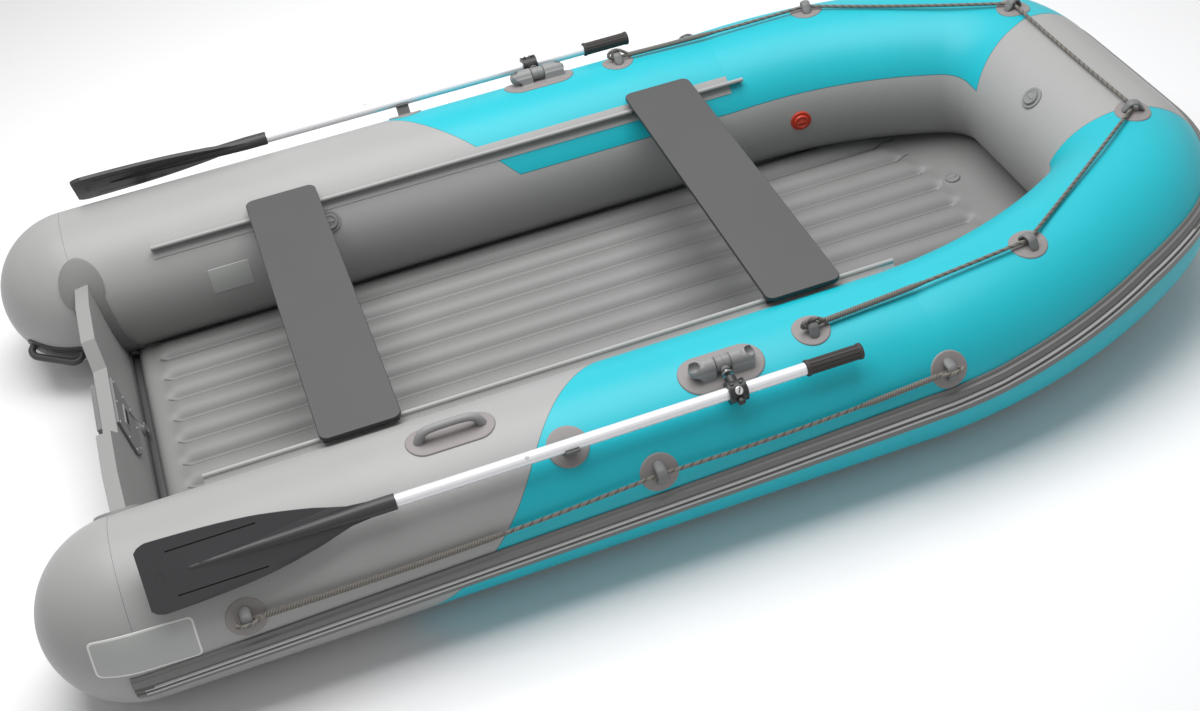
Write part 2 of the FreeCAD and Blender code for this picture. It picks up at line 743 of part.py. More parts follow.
oar_turn = math.radians(dim("oar_angle"))
oar_y = offset + (radius + dim("oar_stand")) * math.sin(oar_turn)
oar_z = radius + (radius + dim("oar_stand")) * math.cos(oar_turn)
collar_centre = Vector(lock_x, oar_y, oar_z)
pin_way = collar_centre - lock_centre
pin_length = pin_way.Length
pin_way.normalize()
barrel_roller = Part.makeCylinder(
    dim("barrel_radius"), dim("barrel_length"),
    lock_centre - Vector(dim("barrel_length") / 2, 0, 0), Vector(1, 0, 0))
trunnions = Part.makeCylinder(
    dim("trunnion_radius"), dim("barrel_length") + 2 * TRUNNION_REACH,
    lock_centre - Vector(dim("barrel_length") / 2 + TRUNNION_REACH, 0, 0), Vector(1, 0, 0))
pin = Part.makeCylinder(dim("pin_radius"), pin_length + dim("collar_radius") + 2, lock_centre, pin_way)
knob_foot = collar_centre + pin_way * (dim("collar_radius") + 1)
knob = Part.makeCylinder(dim("knob_radius"), dim("knob_height"), knob_foot, pin_way)
washer_foot = lock_centre + pin_way * (2 * dim("barrel_radius") - 1)
washer = Part.makeCylinder(dim("washer_radius"), dim("washer_thickness"), washer_foot, pin_way)
oarlock_barrel_port = feature(
    "oarlock_barrel_port", fuse([barrel_roller, trunnions, pin, washer, knob]))
oarlock_barrel_starboard = mirrored("oarlock_barrel_starboard", oarlock_barrel_port)

# Oars: collar on the pin, alloy shaft, grip and a ridged blade.
boss_reach = dim("collar_radius") + dim("washer_radius")
boss = Part.makeCylinder(
    dim("washer_radius"), boss_reach - dim("shaft_radius"), collar_centre - pin_way * boss_reach,
    pin_way)
collar_ring = Part.makeCylinder(
    dim("collar_radius"), dim("collar_length"),
    collar_centre - Vector(dim("collar_length") / 2, 0, 0), Vector(1, 0, 0))
shaft_from = -dim("shaft_aft")
shaft_rod = add("Part::Cylinder", "shaft_rod", Radius="Dims.shaft_radius",
                Height="Dims.grip_start + Dims.shaft_aft")
shaft_rod.Placement = Placement(Vector(shaft_from, oar_y, oar_z), along_x)
pin_hole = add("Part::Cylinder", "pin_hole", Radius="Dims.pin_radius + Dims.bearing_gap")
pin_hole.Height = 2 * pin_length
pin_hole.Placement = Placement(lock_centre, Rotation(Vector(0, 0, 1), pin_way))
oar_shaft_port = kept(add("Part::Cut", "oar_shaft_port"))
oar_shaft_port.Base = shaft_rod
oar_shaft_port.Tool = pin_hole
oar_shaft_starboard = mirrored("oar_shaft_starboard", oar_shaft_port)
doc.recompute()

collar = fuse([boss, collar_ring]).cut([shaft_rod.Shape, pin_hole.Shape])
oar_collar_port = feature("oar_collar_port", collar)
oar_collar_starboard = mirrored("oar_collar_starboard", oar_collar_port)

GRIP_LIP = 10
GROOVE_RADIUS = 1.5
grip_length = dim("grip_end") - dim("grip_start")
rim = dim("grip_radius") + dim("grip_rim")
grip_side = [Vector(0, 0, 0), Vector(0, rim - 2, 0), Vector(2, rim, 0), Vector(GRIP_LIP - 2, rim, 0),
             Vector(GRIP_LIP, dim("grip_radius"), 0),
             Vector(grip_length - GRIP_LIP, dim("grip_radius"), 0),
             Vector(grip_length - GRIP_LIP + 2, rim, 0), Vector(grip_length - 2, rim, 0),
             Vector(grip_length, rim - 2, 0), Vector(grip_length, 0, 0)]
grip = Part.Face(Part.makePolygon(grip_side + grip_side[:1])).revolve(
    Vector(0, 0, 0), Vector(1, 0, 0), 360)
grooves = int(dim("grip_grooves"))
groove_rods = []
for index in range(grooves):
    around = 2 * math.pi * index / grooves
    groove_foot = Vector(GRIP_LIP, dim("grip_radius") * math.cos(around),
                         dim("grip_radius") * math.sin(around))
    groove_rods.append(Part.makeCylinder(
        GROOVE_RADIUS, grip_length - 2 * GRIP_LIP, groove_foot, Vector(1, 0, 0)))
grip = grip.cut(groove_rods)
grip.Placement = Placement(Vector(dim("grip_start"), oar_y, oar_z), Rotation())
oar_grip_port = feature("oar_grip_port", grip)
oar_grip_starboard = mirrored("oar_grip_starboard", oar_grip_port)

blade_turn = Rotation(Vector(1, 0, 0), -dim("blade_tilt_angle"))
half_blade = dim("blade_width") / 2
blade_tip = -dim("oar_aft")
socket_radius = dim("blade_socket_radius")
SOCKET_OVERLAP = 18
blade_root = shaft_from + SOCKET_OVERLAP
blade_length = blade_root - blade_tip
blade_shape = [(0, 0.82), (0.016, 0.92), (0.06, 1), (0.46, 0.86), (0.72, 0.56), (0.88, 0.28), (1, 0.21)]
blade_marks = [(blade_tip + blade_length * along, half_blade * share) for along, share in blade_shape]
blade_loop = [Vector(x, w, 0) for x, w in blade_marks]
blade_loop += [Vector(x, -w, 0) for x, w in reversed(blade_marks)]
blade_web = Part.Face(Part.makePolygon(blade_loop + blade_loop[:1])).extrude(
    Vector(0, 0, dim("blade_thickness")))
blade_web.translate(Vector(0, 0, -dim("blade_thickness") / 2))
SPINE_TIP = 6
SOCKET_LENGTH = 60
SOCKET_START = 20
spine_length = 0.8 * blade_length
spine = Part.makeCone(SPINE_TIP, socket_radius, spine_length - SOCKET_START,
                      Vector(blade_root - spine_length, 0, 0), Vector(1, 0, 0))
spine_end = Part.makeSphere(SPINE_TIP, Vector(blade_root - spine_length, 0, 0))
socket = Part.makeCylinder(
    socket_radius, SOCKET_LENGTH, Vector(blade_root - SOCKET_START, 0, 0), Vector(1, 0, 0))
socket_bore = Part.makeCylinder(
    dim("shaft_radius"), SOCKET_LENGTH, Vector(shaft_from, 0, 0), Vector(1, 0, 0))
SLOT_FROM_TIP = 60
slot_width = dim("blade_slot_width")
blade_slots = []
for side in (-1, 1):
    slot_corner = Vector(blade_tip + SLOT_FROM_TIP, side * half_blade * 0.62 - slot_width / 2,
                         -socket_radius)
    blade_slots.append(Part.makeBox(
        dim("blade_slot_length"), slot_width, 2 * socket_radius, slot_corner))
blade = fuse([blade_web, spine, spine_end, socket]).cut([socket_bore] + blade_slots)
blade = blade.copy()
blade.Placement = Placement(Vector(0, oar_y, oar_z), blade_turn)
oar_blade_port = feature("oar_blade_port", blade)
oar_blade_starboard = mirrored("oar_blade_starboard", oar_blade_port)

# Oar cradles: an open rubber clip on a round patch, under each shaft.
cradle_point, cradle_normal = on_side(-dim("cradle_x"), dim("cradle_angle"))
cradle_turn = Rotation(Vector(1, 0, 0), Vector(0, 1, 0), cradle_normal, "XZY")
PATCH_BLANK = 40
cradle_disc = Part.makeCylinder(
    dim("cradle_patch_radius"), 2 * PATCH_BLANK, cradle_point - cradle_normal * PATCH_BLANK,
    cradle_normal)
cradle_patch = hugging(cradle_disc, "straight")
shaft_seat = Vector(-dim("cradle_x"), oar_y, oar_z)
clip_half = Vector(dim("cradle_length") / 2, 0, 0)
clip_inner = dim("shaft_radius") + dim("cradle_gap")
clip_outer = clip_inner + dim("cradle_wall")
clip = Part.makeCylinder(clip_outer, 2 * clip_half.x, shaft_seat - clip_half, Vector(1, 0, 0))
clip_room = Part.makeCylinder(clip_inner, 4 * clip_half.x, shaft_seat - clip_half * 2, Vector(1, 0, 0))
open_top = Part.makeBox(4 * clip_half.x, 4 * clip_outer, 2 * clip_outer,
                        shaft_seat - Vector(2 * clip_half.x, 2 * clip_outer, 1))
NECK_HALF = 10
neck_height = 3 * clip_outer
clip_neck = Part.makeBox(
    2 * clip_half.x, 2 * NECK_HALF, neck_height, Vector(-clip_half.x, -NECK_HALF, -neck_height))
clip_neck.Placement = Placement(shaft_seat, Rotation(
    Vector(1, 0, 0), Vector(0, 1, 0), shaft_seat - Vector(shaft_seat.x, offset, radius), "XZY"))
cradle_clip = fuse([clip, clip_neck]).cut([clip_room, open_top, side_tube_port.Shape, cradle_patch])
oar_cradle_port = feature("oar_cradle_port", fuse([cradle_patch, cradle_clip]))
oar_cradle_starboard = mirrored("oar_cradle_starboard", oar_cradle_port)

# Rope eyes: round patches with a bored horn, for the bow line and the side lines.
eye_height = dim("eye_height")
ARCH_HALF = 23
ARCH_SINK = 20
ARCH_RISE = 10
CROWN_RADIUS = 15


def rope_eye(point, normal, along, stretches):
    """A patch that hugs the tube and a short arch with a hole for the rope."""
    disc_prism = Part.makeCylinder(
        dim("eye_patch_radius"), 2 * PATCH_BLANK, point - normal * PATCH_BLANK, normal)
    pad = hugging(disc_prism, *stretches)
    through = along.cross(normal)
    turn_to = Rotation(along, through * -1, normal, "XZY")
    width = dim("eye_band_width")
    arch = Part.makeBox(
        2 * ARCH_HALF, width, ARCH_SINK + ARCH_RISE, Vector(-ARCH_HALF, -width / 2, -ARCH_SINK))
    crown = Part.makeCylinder(
        CROWN_RADIUS, width, Vector(0, -width / 2, eye_height - 2), Vector(0, 1, 0))
    arch = fuse([arch, crown])
    arch.Placement = Placement(point, turn_to)
    hole_foot = point + normal * eye_height - through * PATCH_BLANK
    hole = Part.makeCylinder(dim("eye_hole_radius"), 2 * PATCH_BLANK, hole_foot, through)
    arch = arch.cut([hole, pad] + half_hull)
    return fuse([pad, arch])


bow_eyes = [
    (*on_side(dim("bow_eye_aft"), dim("bow_eye_angle")), Vector(0, 1, 0), ["straight"]),
    (*on_bend(dim("bow_eye_heading_angle"), dim("bow_eye_angle"), "shoulder"), None, ["shoulder"]),
    (*on_bend(dim("corner_eye_heading_angle"), dim("corner_eye_angle"), "corner"), None,
     ["shoulder", "bow"]),
]
side_eyes = [
    (*on_side(-dim("side_eye_aft"), dim("side_eye_aft_angle")), Vector(0, 0, 1), ["straight"]),
    (*on_side(-dim("side_eye_middle"), dim("side_eye_middle_angle")), Vector(0, 0, 1), ["straight"]),
    (*on_side(dim("side_eye_fore"), dim("side_eye_fore_angle")), Vector(0, 0, 1),
     ["straight", "shoulder"]),
]
for label, entries in (("bow_line_eyes", bow_eyes), ("side_line_eyes", side_eyes)):
    solids = []
    for point, normal, cross_way, stretches in entries:
        if label == "side_line_eyes":
            along = Vector(0, -normal.z, normal.y)
        else:
            along = Vector(0, 1, 0) - normal * normal.y if cross_way else None
            if along is None:
                tangent = Vector(normal.x, normal.y, 0)
                outward = tangent.normalize() if tangent.Length > 0.02 else Vector(0, 1, 0)
                along = (outward - normal * outward.dot(normal))
            along.normalize()
        solids.append(rope_eye(point, normal, along, stretches))
    solids += [across(s) for s in solids]
    feature(label, Part.makeCompound(solids))

# Grab lines: plain rope through the eyes, straight runs joined by tangent arcs.
def rope(points, size):
    """A round rope on straight runs with a tangent arc at each bend."""
    edges = []
    last = points[0]
    for before, corner, after in zip(points, points[1:], points[2:]):
        back = (before - corner)
        ahead = (after - corner)
        shorter = min(back.Length, ahead.Length)
        half_turn = (math.pi - back.getAngle(ahead)) / 2
        cut = 0.45 * shorter
        bend_radius = cut / math.tan(half_turn)
        back.normalize()
        ahead.normalize()
        enter, leave = corner + back * cut, corner + ahead * cut
        inward = (back + ahead).normalize()
        centre = corner + inward * (bend_radius / math.cos(half_turn))
        middle = centre - inward * bend_radius
        edges.append(Part.LineSegment(last, enter).toShape())
        edges.append(Part.Arc(enter, middle, leave).toShape())
        last = leave
    edges.append(Part.LineSegment(last, points[-1]).toShape())
    path = Part.Wire(edges)
    way = points[1] - points[0]
    ring = Part.Wire(Part.makeCircle(size, points[0], way))
    return path.makePipeShell([ring], True, True)


def eye_hole_point(entry):
    return entry[0] + entry[1] * eye_height


def mirror_point(point):
    return Vector(point.x, -point.y, point.z)


def between(first, second, share, move):
    return first + (second - first) * share + move


SPLICE_START = 26


def doubled(first, second, length):
    """The spliced stretch where a line's end is laid back along itself."""
    way = (second - first).normalize()
    return Part.makeCylinder(dim("splice_radius"), length, first + way * SPLICE_START, way)


eye_holes = [eye_hole_point(e) for e in bow_eyes]
half_points = [eye_holes[0]]
half_points += [between(eye_holes[0], eye_holes[1], 0.33, Vector(0, 4, -5)),
                between(eye_holes[0], eye_holes[1], 0.67, Vector(0, 6, -5)), eye_holes[1]]
half_points += [between(eye_holes[1], eye_holes[2], 0.33, Vector(2, 6, -6)),
                between(eye_holes[1], eye_holes[2], 0.67, Vector(4, 8, -5)), eye_holes[2]]
bow_points = half_points + [between(eye_holes[2], mirror_point(eye_holes[2]), 0.33, Vector(4, 0, -5)),
                            between(eye_holes[2], mirror_point(eye_holes[2]), 0.67, Vector(4, 0, -5))]
bow_points += [mirror_point(p) for p in reversed(half_points)]
rope_size = dim("rope_radius")
bow_splice = doubled(bow_points[0], bow_points[1], dim("bow_splice_length"))
bow_line = feature("bow_line", fuse([rope(bow_points, rope_size), bow_splice, across(bow_splice)]))

SIDE_SAG = 13
side_holes = [eye_hole_point(e) for e in side_eyes]
side_points = [side_holes[0]]
for first, second in zip(side_holes, side_holes[1:]):
    side_points += [between(first, second, 0.25, Vector(0, 1, -0.7 * SIDE_SAG)),
                    between(first, second, 0.5, Vector(0, 1, -SIDE_SAG)),
                    between(first, second, 0.75, Vector(0, 1, -0.7 * SIDE_SAG)), second]
side_splice = dim("side_splice_length")
side_splices = [doubled(side_points[0], side_points[1], side_splice),
                doubled(side_points[-1], side_points[-2], side_splice)]
side_line_port = feature("side_line_port", fuse([rope(side_points, rope_size)] + side_splices))
side_line_starboard = mirrored("side_line_starboard", side_line_port)

# Air valves: a flange that hugs its tube and a screwed cap.
def valve(point, normal, stretch):
    flange = hugging(Part.makeCylinder(
        dim("valve_flange_radius"), 2 * PATCH_BLANK, point - normal * PATCH_BLANK, normal), stretch)
    cap_sink = 2
    cap = Part.makeCylinder(dim("valve_cap_radius"), dim("valve_cap_height") + cap_sink,
                            point - normal * cap_sink, normal)
    return fuse([flange, cap.cut(half_hull)])


side_valve = valve(*on_side(-dim("side_valve_x"), -dim("side_valve_angle")), "straight")
lean = math.radians(dim("bow_valve_angle"))
bow_up = Vector(-math.sin(lean), 0, math.cos(lean))
bow_point = rise.multVec(Vector(bow_x, dim("bow_valve_side"), radius) + bow_up * radius)
bow_valve = across(valve(bow_point, rise.Rotation.multVec(bow_up), "bow"))
feature("air_valves", Part.makeCompound([side_valve, across(side_valve), bow_valve]))

# Relief valve: like the others, on the inner face of the port shoulder.
relief_valve = feature(
    "relief_valve", valve(*on_bend(dim("relief_valve_heading_angle"), -90, "shoulder"), "shoulder"))

# Floor valve: on the sloping nose of the floor.
valve_x = bow_x - dim("floor_valve_back")
nose_slope = math.atan2(dim("nose_climb"), bow_x - floor_nose)
floor_valve_spot = Vector(valve_x, dim("floor_valve_side"),
                          dim("nose_top") + (valve_x - floor_nose) * math.tan(nose_slope))
floor_way = Vector(-math.sin(nose_slope), 0, math.cos(nose_slope))
floor_valve = feature("floor_valve", fuse([
    Part.makeCylinder(dim("valve_flange_radius"), 4, floor_valve_spot, floor_way),
    Part.makeCylinder(dim("valve_cap_radius"), dim("valve_cap_height"), floor_valve_spot, floor_way)]))


# Handles: a bent bar on a long patch; two on the stern caps and one on the starboard tube.
def handle_bar(first, first_normal, second, second_normal, stand, size):
    """A round bar that leaves its patch steeply at both feet and runs level between them."""
    way = (second - first).normalize()
    root, knee, shoulder = 6, stand * 0.55, 2.2 * size
    points = [first - first_normal * root, first + first_normal * knee + way * 2,
              first + first_normal * stand + way * shoulder,
              second + second_normal * stand - way * shoulder,
              second + second_normal * knee - way * 2, second - second_normal * root]
    return rope(points, size)


carry_foot, carry_normal = on_side(-dim("carry_handle_x"), 0)
carry_patch = hugging(stadium(dim("carry_patch_length"), dim("carry_patch_width"), carry_foot,
                              Rotation()), "straight")
carry_half = Vector(dim("carry_handle_span") / 2, 0, 0)
carry_bar = handle_bar(carry_foot - carry_half, carry_normal, carry_foot + carry_half, carry_normal,
                       dim("carry_handle_height"), dim("carry_handle_radius"))
carry_handle = feature(
    "carry_handle", across(fuse([carry_patch, carry_bar.cut(side_tube_port.Shape)])))


def on_cap(back, angle):
    """A point and normal of the blunt stern cap, back being the share of its length."""
    ring = math.sqrt(1 - back * back)
    turn_out = math.radians(angle)
    out = Vector(0, math.sin(turn_out), math.cos(turn_out))
    seam = -dim("stern_tip") + dim("cap_length")
    point = Vector(seam - dim("cap_length") * back, offset, radius) + out * (radius * ring)
    normal = Vector(-back / dim("cap_length"), 0, 0) + out * (ring / radius)
    return point, normal.normalize()


HANDLE_BACK = (0.76, 0.22)
HANDLE_ANGLE = (-117, -114)
stern_skin = dim("stern_patch")
cap_shell = straight_solid(radius + stern_skin, stern_skin)
aft_foot, aft_normal = on_cap(HANDLE_BACK[0], HANDLE_ANGLE[0])
fore_foot, fore_normal = on_cap(HANDLE_BACK[1], HANDLE_ANGLE[1])
middle_foot, middle_normal = on_cap(sum(HANDLE_BACK) / 2, sum(HANDLE_ANGLE) / 2)
handle_turn = Rotation(fore_foot - aft_foot, Vector(0, 0, 1), middle_normal, "ZXY")
stern_blank = stadium(
    dim("stern_patch_length"), dim("stern_patch_width"), middle_foot, handle_turn, 3 * PATCH_BLANK)
stern_patch = stern_blank.common(cap_shell).cut(side_tube_port.Shape)
stern_bar = handle_bar(aft_foot, aft_normal, fore_foot, fore_normal,
                       dim("stern_handle_height"), dim("stern_handle_radius"))
stern_handle = fuse([stern_patch, stern_bar.cut(side_tube_port.Shape)])
feature("stern_handles", Part.makeCompound([stern_handle, across(stern_handle)]))
doc.recompute()

os.makedirs("parts", exist_ok=True)
for item in sub_parts:
    shape = item.Shape
    if shape.isNull() or not shape.isValid() or "Invalid" in item.State or "Error" in item.State:
        raise RuntimeError(f"{item.Label} failed: {item.State}")
    shape.exportStep(f"parts/{item.Label}.step")
    print(item.Label, len(shape.Solids), round(shape.Volume / 1e6, 3), "litres")
for item in doc.Objects:
    if "Invalid" in item.State or "Error" in item.State:
        raise RuntimeError(f"{item.Label} failed: {item.State}")
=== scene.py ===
from math import atan2, copysign, cos, hypot, pi, radians, sin, sqrt, tan

import bpy
from mathutils import Matrix, Vector


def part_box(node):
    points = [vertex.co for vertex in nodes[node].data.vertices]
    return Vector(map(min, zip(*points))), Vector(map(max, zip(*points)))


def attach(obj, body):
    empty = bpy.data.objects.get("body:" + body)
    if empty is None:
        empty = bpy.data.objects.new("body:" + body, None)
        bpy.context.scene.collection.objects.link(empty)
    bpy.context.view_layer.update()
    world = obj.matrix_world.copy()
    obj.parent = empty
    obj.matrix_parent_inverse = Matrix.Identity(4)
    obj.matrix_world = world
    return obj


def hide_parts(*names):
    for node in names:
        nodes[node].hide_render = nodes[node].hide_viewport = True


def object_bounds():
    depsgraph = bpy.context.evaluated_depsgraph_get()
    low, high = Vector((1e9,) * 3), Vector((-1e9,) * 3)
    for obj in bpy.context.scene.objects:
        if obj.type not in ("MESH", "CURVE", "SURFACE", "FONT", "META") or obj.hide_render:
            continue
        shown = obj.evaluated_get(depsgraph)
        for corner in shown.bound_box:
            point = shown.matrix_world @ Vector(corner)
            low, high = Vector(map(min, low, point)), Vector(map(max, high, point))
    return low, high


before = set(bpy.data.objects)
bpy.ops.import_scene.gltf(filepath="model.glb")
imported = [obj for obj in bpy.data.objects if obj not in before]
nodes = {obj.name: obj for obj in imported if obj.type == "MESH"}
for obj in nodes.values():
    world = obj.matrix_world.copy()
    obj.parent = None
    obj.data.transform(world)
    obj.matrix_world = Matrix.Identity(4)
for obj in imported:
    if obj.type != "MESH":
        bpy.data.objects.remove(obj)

cad_low, cad_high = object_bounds()


# Camera and studio
# The photographer stood off the starboard quarter and looked down on the boat, a little tilted.
# The room is a pale floor under one broad overhead light, with a softer fill all round.
def added(name, data):
    """A new object of the scene, it and its data under one name."""
    thing = bpy.data.objects.new(name, data)
    data.name = name
    bpy.context.scene.collection.objects.link(thing)
    return thing


def placed(name, data, place, turn):
    """A camera or a lamp, set in the scene at a place and turned some way."""
    thing = added(name, data)
    thing.location = place
    thing.rotation_euler = turn
    return thing


camera_data = bpy.data.cameras.new("camera")
camera_data.sensor_width = 36
camera_data.lens = 48.97
camera_data.clip_end = 120
bpy.context.scene.camera = placed("camera", camera_data, (-0.8632, -3.2375, 2.8356),
                                  (radians(48.769), radians(6.292), radians(-19.208)))
bpy.context.scene.view_settings.view_transform = "Standard"


def tone(red, green, blue):
    """A colour as a paint chart gives it, 0 to 255, in the linear values that shaders take."""
    linear = [part / 12.92 if part <= 0.04045 else ((part + 0.055) / 1.055) ** 2.4
              for part in (red / 255, green / 255, blue / 255)]
    return (*linear, 1.0)


def new_material(name, colour, roughness, specular=0.35, metallic=0.0):
    """A material of one colour to start from, and its shader."""
    material = bpy.data.materials.new(name)
    material.use_nodes = True
    shader = material.node_tree.nodes["Principled BSDF"]
    for socket, value in (("Base Color", colour), ("Roughness", roughness),
                          ("Specular IOR Level", specular), ("Metallic", metallic)):
        shader.inputs[socket].default_value = value
    return material, shader


def select_only(piece=None):
    """Leave one piece selected and active, or nothing selected at all."""
    bpy.ops.object.select_all(action="DESELECT")
    if piece:
        piece.select_set(True)
        bpy.context.view_layer.objects.active = piece


select_only()
bpy.ops.mesh.primitive_plane_add(size=80, location=(0, 0, cad_low.z - 0.0005))
studio_floor = bpy.context.object
studio_floor.name = "studio_floor"
studio_floor.data.materials.append(
    new_material("studio_paper", tone(247, 247, 248), 0.9, specular=0.1)[0])

key_data = bpy.data.lights.new("overhead", "AREA")
key_data.shape = "RECTANGLE"
key_data.size = 4.0
key_data.size_y = 3.0
key_data.energy = 196
key_place = Vector((-0.35, 0.35, 3.8))
key_aim = Vector((-0.3, -0.1, 0))
placed("overhead", key_data, key_place, (key_place - key_aim).to_track_quat("Z", "Y").to_euler())


def wired(tree, kind, inputs, **settings):
    """A new node with its settings; each input is linked to a socket or set to a value."""
    made = tree.nodes.new("ShaderNode" + kind)
    for setting, value in settings.items():
        setattr(made, setting, value)
    for slot, value in inputs.items():
        if isinstance(value, bpy.types.NodeSocket):
            tree.links.new(value, made.inputs[slot])
        else:
            made.inputs[slot].default_value = value
    return made


def tree_of(values):
    """The node tree that the sockets among some values belong to."""
    return next(value.id_data for value in values if isinstance(value, bpy.types.NodeSocket))


def maths(operation, *values):
    """One arithmetic node; each value is a socket or a number."""
    return wired(tree_of(values), "Math", dict(enumerate(values)), operation=operation).outputs[0]


white = (1.0, 1.0, 1.0, 1.0)
world = bpy.data.worlds.new("studio")
bpy.context.scene.world = world
world.use_nodes = True
air = world.node_tree
fill_light = air.nodes["Background"]
fill_light.inputs["Color"].default_value = white
fill_light.inputs["Strength"].default_value = 0.32
seen_light = wired(air, "Background", {"Color": white, "Strength": 1.0})
ray = wired(air, "LightPath", {})
seen_ray = ray.outputs["Is Camera Ray"]
for kind in ("Is Glossy Ray", "Is Transmission Ray"):
    seen_ray = maths("MAXIMUM", seen_ray, ray.outputs[kind])
room = wired(air, "MixShader", {0: seen_ray, 1: fill_light.outputs[0], 2: seen_light.outputs[0]})
air.links.new(room.outputs[0], air.nodes["World Output"].inputs["Surface"])


# Buoyancy tubes
# Five lengths of coated fabric tube: two straight sides with blunt stern caps, two bent shoulders
# and the bow. Each is welded from flat panels, turquoise forward, grey aft, inside and at the bow.
tube_radius = 0.207
tube_offset = 0.620
stern_tip = -1.5471
cap_length = 0.215
stern_seam = stern_tip + cap_length
fold_x = 0.536
fold_easing = 0.15
bend_start = 0.550
wide_radius = 1.295
wide_turn = radians(30)
tight_radius = 0.280
bow_rise = radians(3.27)
wide_centre = Vector((bend_start, tube_offset - wide_radius, tube_radius))
tight_centre = wide_centre + (wide_radius - tight_radius) * Vector(
    (sin(wide_turn), cos(wide_turn), 0))
bow_x = tight_centre.x + tight_radius
corner_start = bend_start + wide_radius * wide_turn
corner_end = corner_start + tight_radius * (radians(90) - wide_turn)
half_way_round = corner_end + tight_centre.y
fold = Vector((fold_x, 0, 0))
lift_bow = Matrix.Translation(fold) @ Matrix.Rotation(-bow_rise, 4, "Y") @ Matrix.Translation(-fold)
fold_way = Vector((cos(bow_rise / 2), 0, sin(bow_rise / 2)))
merging = 0.00002
ring_points = 112
side_steps = 46
cap_rings = 30
bow_steps = 12
face_aft = (0, radians(90), 0)
face_across = (radians(90), 0, 0)


def named(name):
    """The object that was just made, it and its mesh under a name."""
    piece = bpy.context.object
    piece.name = name
    piece.data.name = name
    return piece


def edit_all():
    """Enter edit mode with the whole mesh selected."""
    bpy.ops.object.mode_set(mode="EDIT")
    bpy.ops.mesh.select_all(action="SELECT")


def draw_out(x, y, z):
    """Extrude what is selected."""
    bpy.ops.mesh.extrude_region_move(TRANSFORM_OT_translate={"value": (x, y, z)})


def start_ring(name, place, turn):
    """A bare ring of tube, ready in edit mode with all of it selected."""
    select_only()
    bpy.ops.mesh.primitive_circle_add(
        vertices=ring_points, radius=tube_radius, location=place, rotation=turn)
    ring = named(name)
    bpy.ops.object.transform_apply(location=True, rotation=True, scale=True)
    edit_all()
    return ring


def finish_shell(piece, crease=None):
    """Merge the doubles, turn every face outwards and smooth it all, or what a crease spares."""
    bpy.ops.object.mode_set(mode="OBJECT")
    select_only(piece)
    edit_all()
    bpy.ops.mesh.remove_doubles(threshold=merging)
    bpy.ops.mesh.normals_make_consistent(inside=False)
    bpy.ops.object.mode_set(mode="OBJECT")
    if crease:
        bpy.ops.object.shade_smooth_by_angle(angle=radians(crease))
    else:
        bpy.ops.object.shade_smooth()
    piece.select_set(False)


def across(piece, name):
    """A copy of a port piece for the starboard side, with its own mesh turned the right way out."""
    twin = piece.copy()
    twin.data = piece.data.copy()
    twin.name = name
    twin.data.name = name
    bpy.context.scene.collection.objects.link(twin)
    twin.data.transform(Matrix.Diagonal((1, -1, 1, 1)))
    twin.data.flip_normals()
    return twin


tube_side_port = start_ring("tube_side_port", (stern_seam, tube_offset, tube_radius), face_aft)
for step in range(side_steps):
    draw_out((fold_x + 0.03 - stern_seam) / side_steps, 0, 0)
bpy.ops.mesh.select_all(action="SELECT")
bpy.ops.mesh.bisect(plane_co=fold, plane_no=fold_way, clear_outer=True)
bpy.ops.mesh.select_all(action="DESELECT")
bpy.ops.object.mode_set(mode="OBJECT")
for vertex in tube_side_port.data.vertices:
    vertex.select = vertex.co.x < stern_seam + 0.0001
bpy.ops.object.mode_set(mode="EDIT")
for ring in range(cap_rings):
    before, after = [radians(90) * part / cap_rings for part in (ring, ring + 1)]
    draw_out(-cap_length * (sin(after) - sin(before)), 0, 0)
    share = max(cos(after), 0.002) / cos(before)
    bpy.ops.transform.resize(
        value=(1, share, share), center_override=(0, tube_offset, tube_radius))
bpy.ops.mesh.edge_face_add()
finish_shell(tube_side_port)

tube_bend_port = start_ring("tube_bend_port", (fold_x - 0.04, tube_offset, tube_radius), face_aft)
draw_out(bend_start - fold_x + 0.04, 0, 0)
bpy.ops.mesh.spin(steps=30, angle=-wide_turn, center=wide_centre, axis=(0, 0, -1))
bpy.ops.mesh.spin(steps=36, angle=wide_turn - radians(90), center=tight_centre, axis=(0, 0, -1))
bpy.ops.object.mode_set(mode="OBJECT")
tube_bend_port.data.transform(lift_bow)
edit_all()
bpy.ops.mesh.bisect(plane_co=fold, plane_no=fold_way, clear_inner=True)
finish_shell(tube_bend_port)

tube_bow = start_ring("tube_bow", (bow_x, tight_centre.y, tube_radius), face_across)
for step in range(bow_steps):
    draw_out(0, -2 * tight_centre.y / bow_steps, 0)
bpy.ops.object.mode_set(mode="OBJECT")
tube_bow.data.transform(lift_bow)
finish_shell(tube_bow)
tube_side_starboard = across(tube_side_port, "tube_side_starboard")
tube_bend_starboard = across(tube_bend_port, "tube_bend_starboard")


def laid_out(point):
    """A point's length along its tube's middle line, and its reach outwards and up from it."""
    spot = Vector((point.x, abs(point.y), point.z))
    if (spot - fold).dot(fold_way) > 0:
        spot = lift_bow.inverted() @ spot
    wide = (spot - wide_centre).to_2d()
    tight = (spot - tight_centre).to_2d()
    if spot.x <= bend_start:
        length, outward = spot.x, spot.y - tube_offset
    elif atan2(wide.x, wide.y) < wide_turn:
        length = bend_start + wide_radius * atan2(wide.x, wide.y)
        outward = wide.length - wide_radius
    elif spot.y > tight_centre.y:
        length = corner_start + tight_radius * (atan2(tight.x, tight.y) - wide_turn)
        outward = tight.length - tight_radius
    else:
        length, outward = corner_end + tight_centre.y - spot.y, spot.x - bow_x
    return length, outward, spot.z - tube_radius


def place_on_tube(point):
    """How far along its tube a point lies, and how far round it from its top outwards."""
    length, outward, upward = laid_out(point)
    return length, atan2(outward, upward)


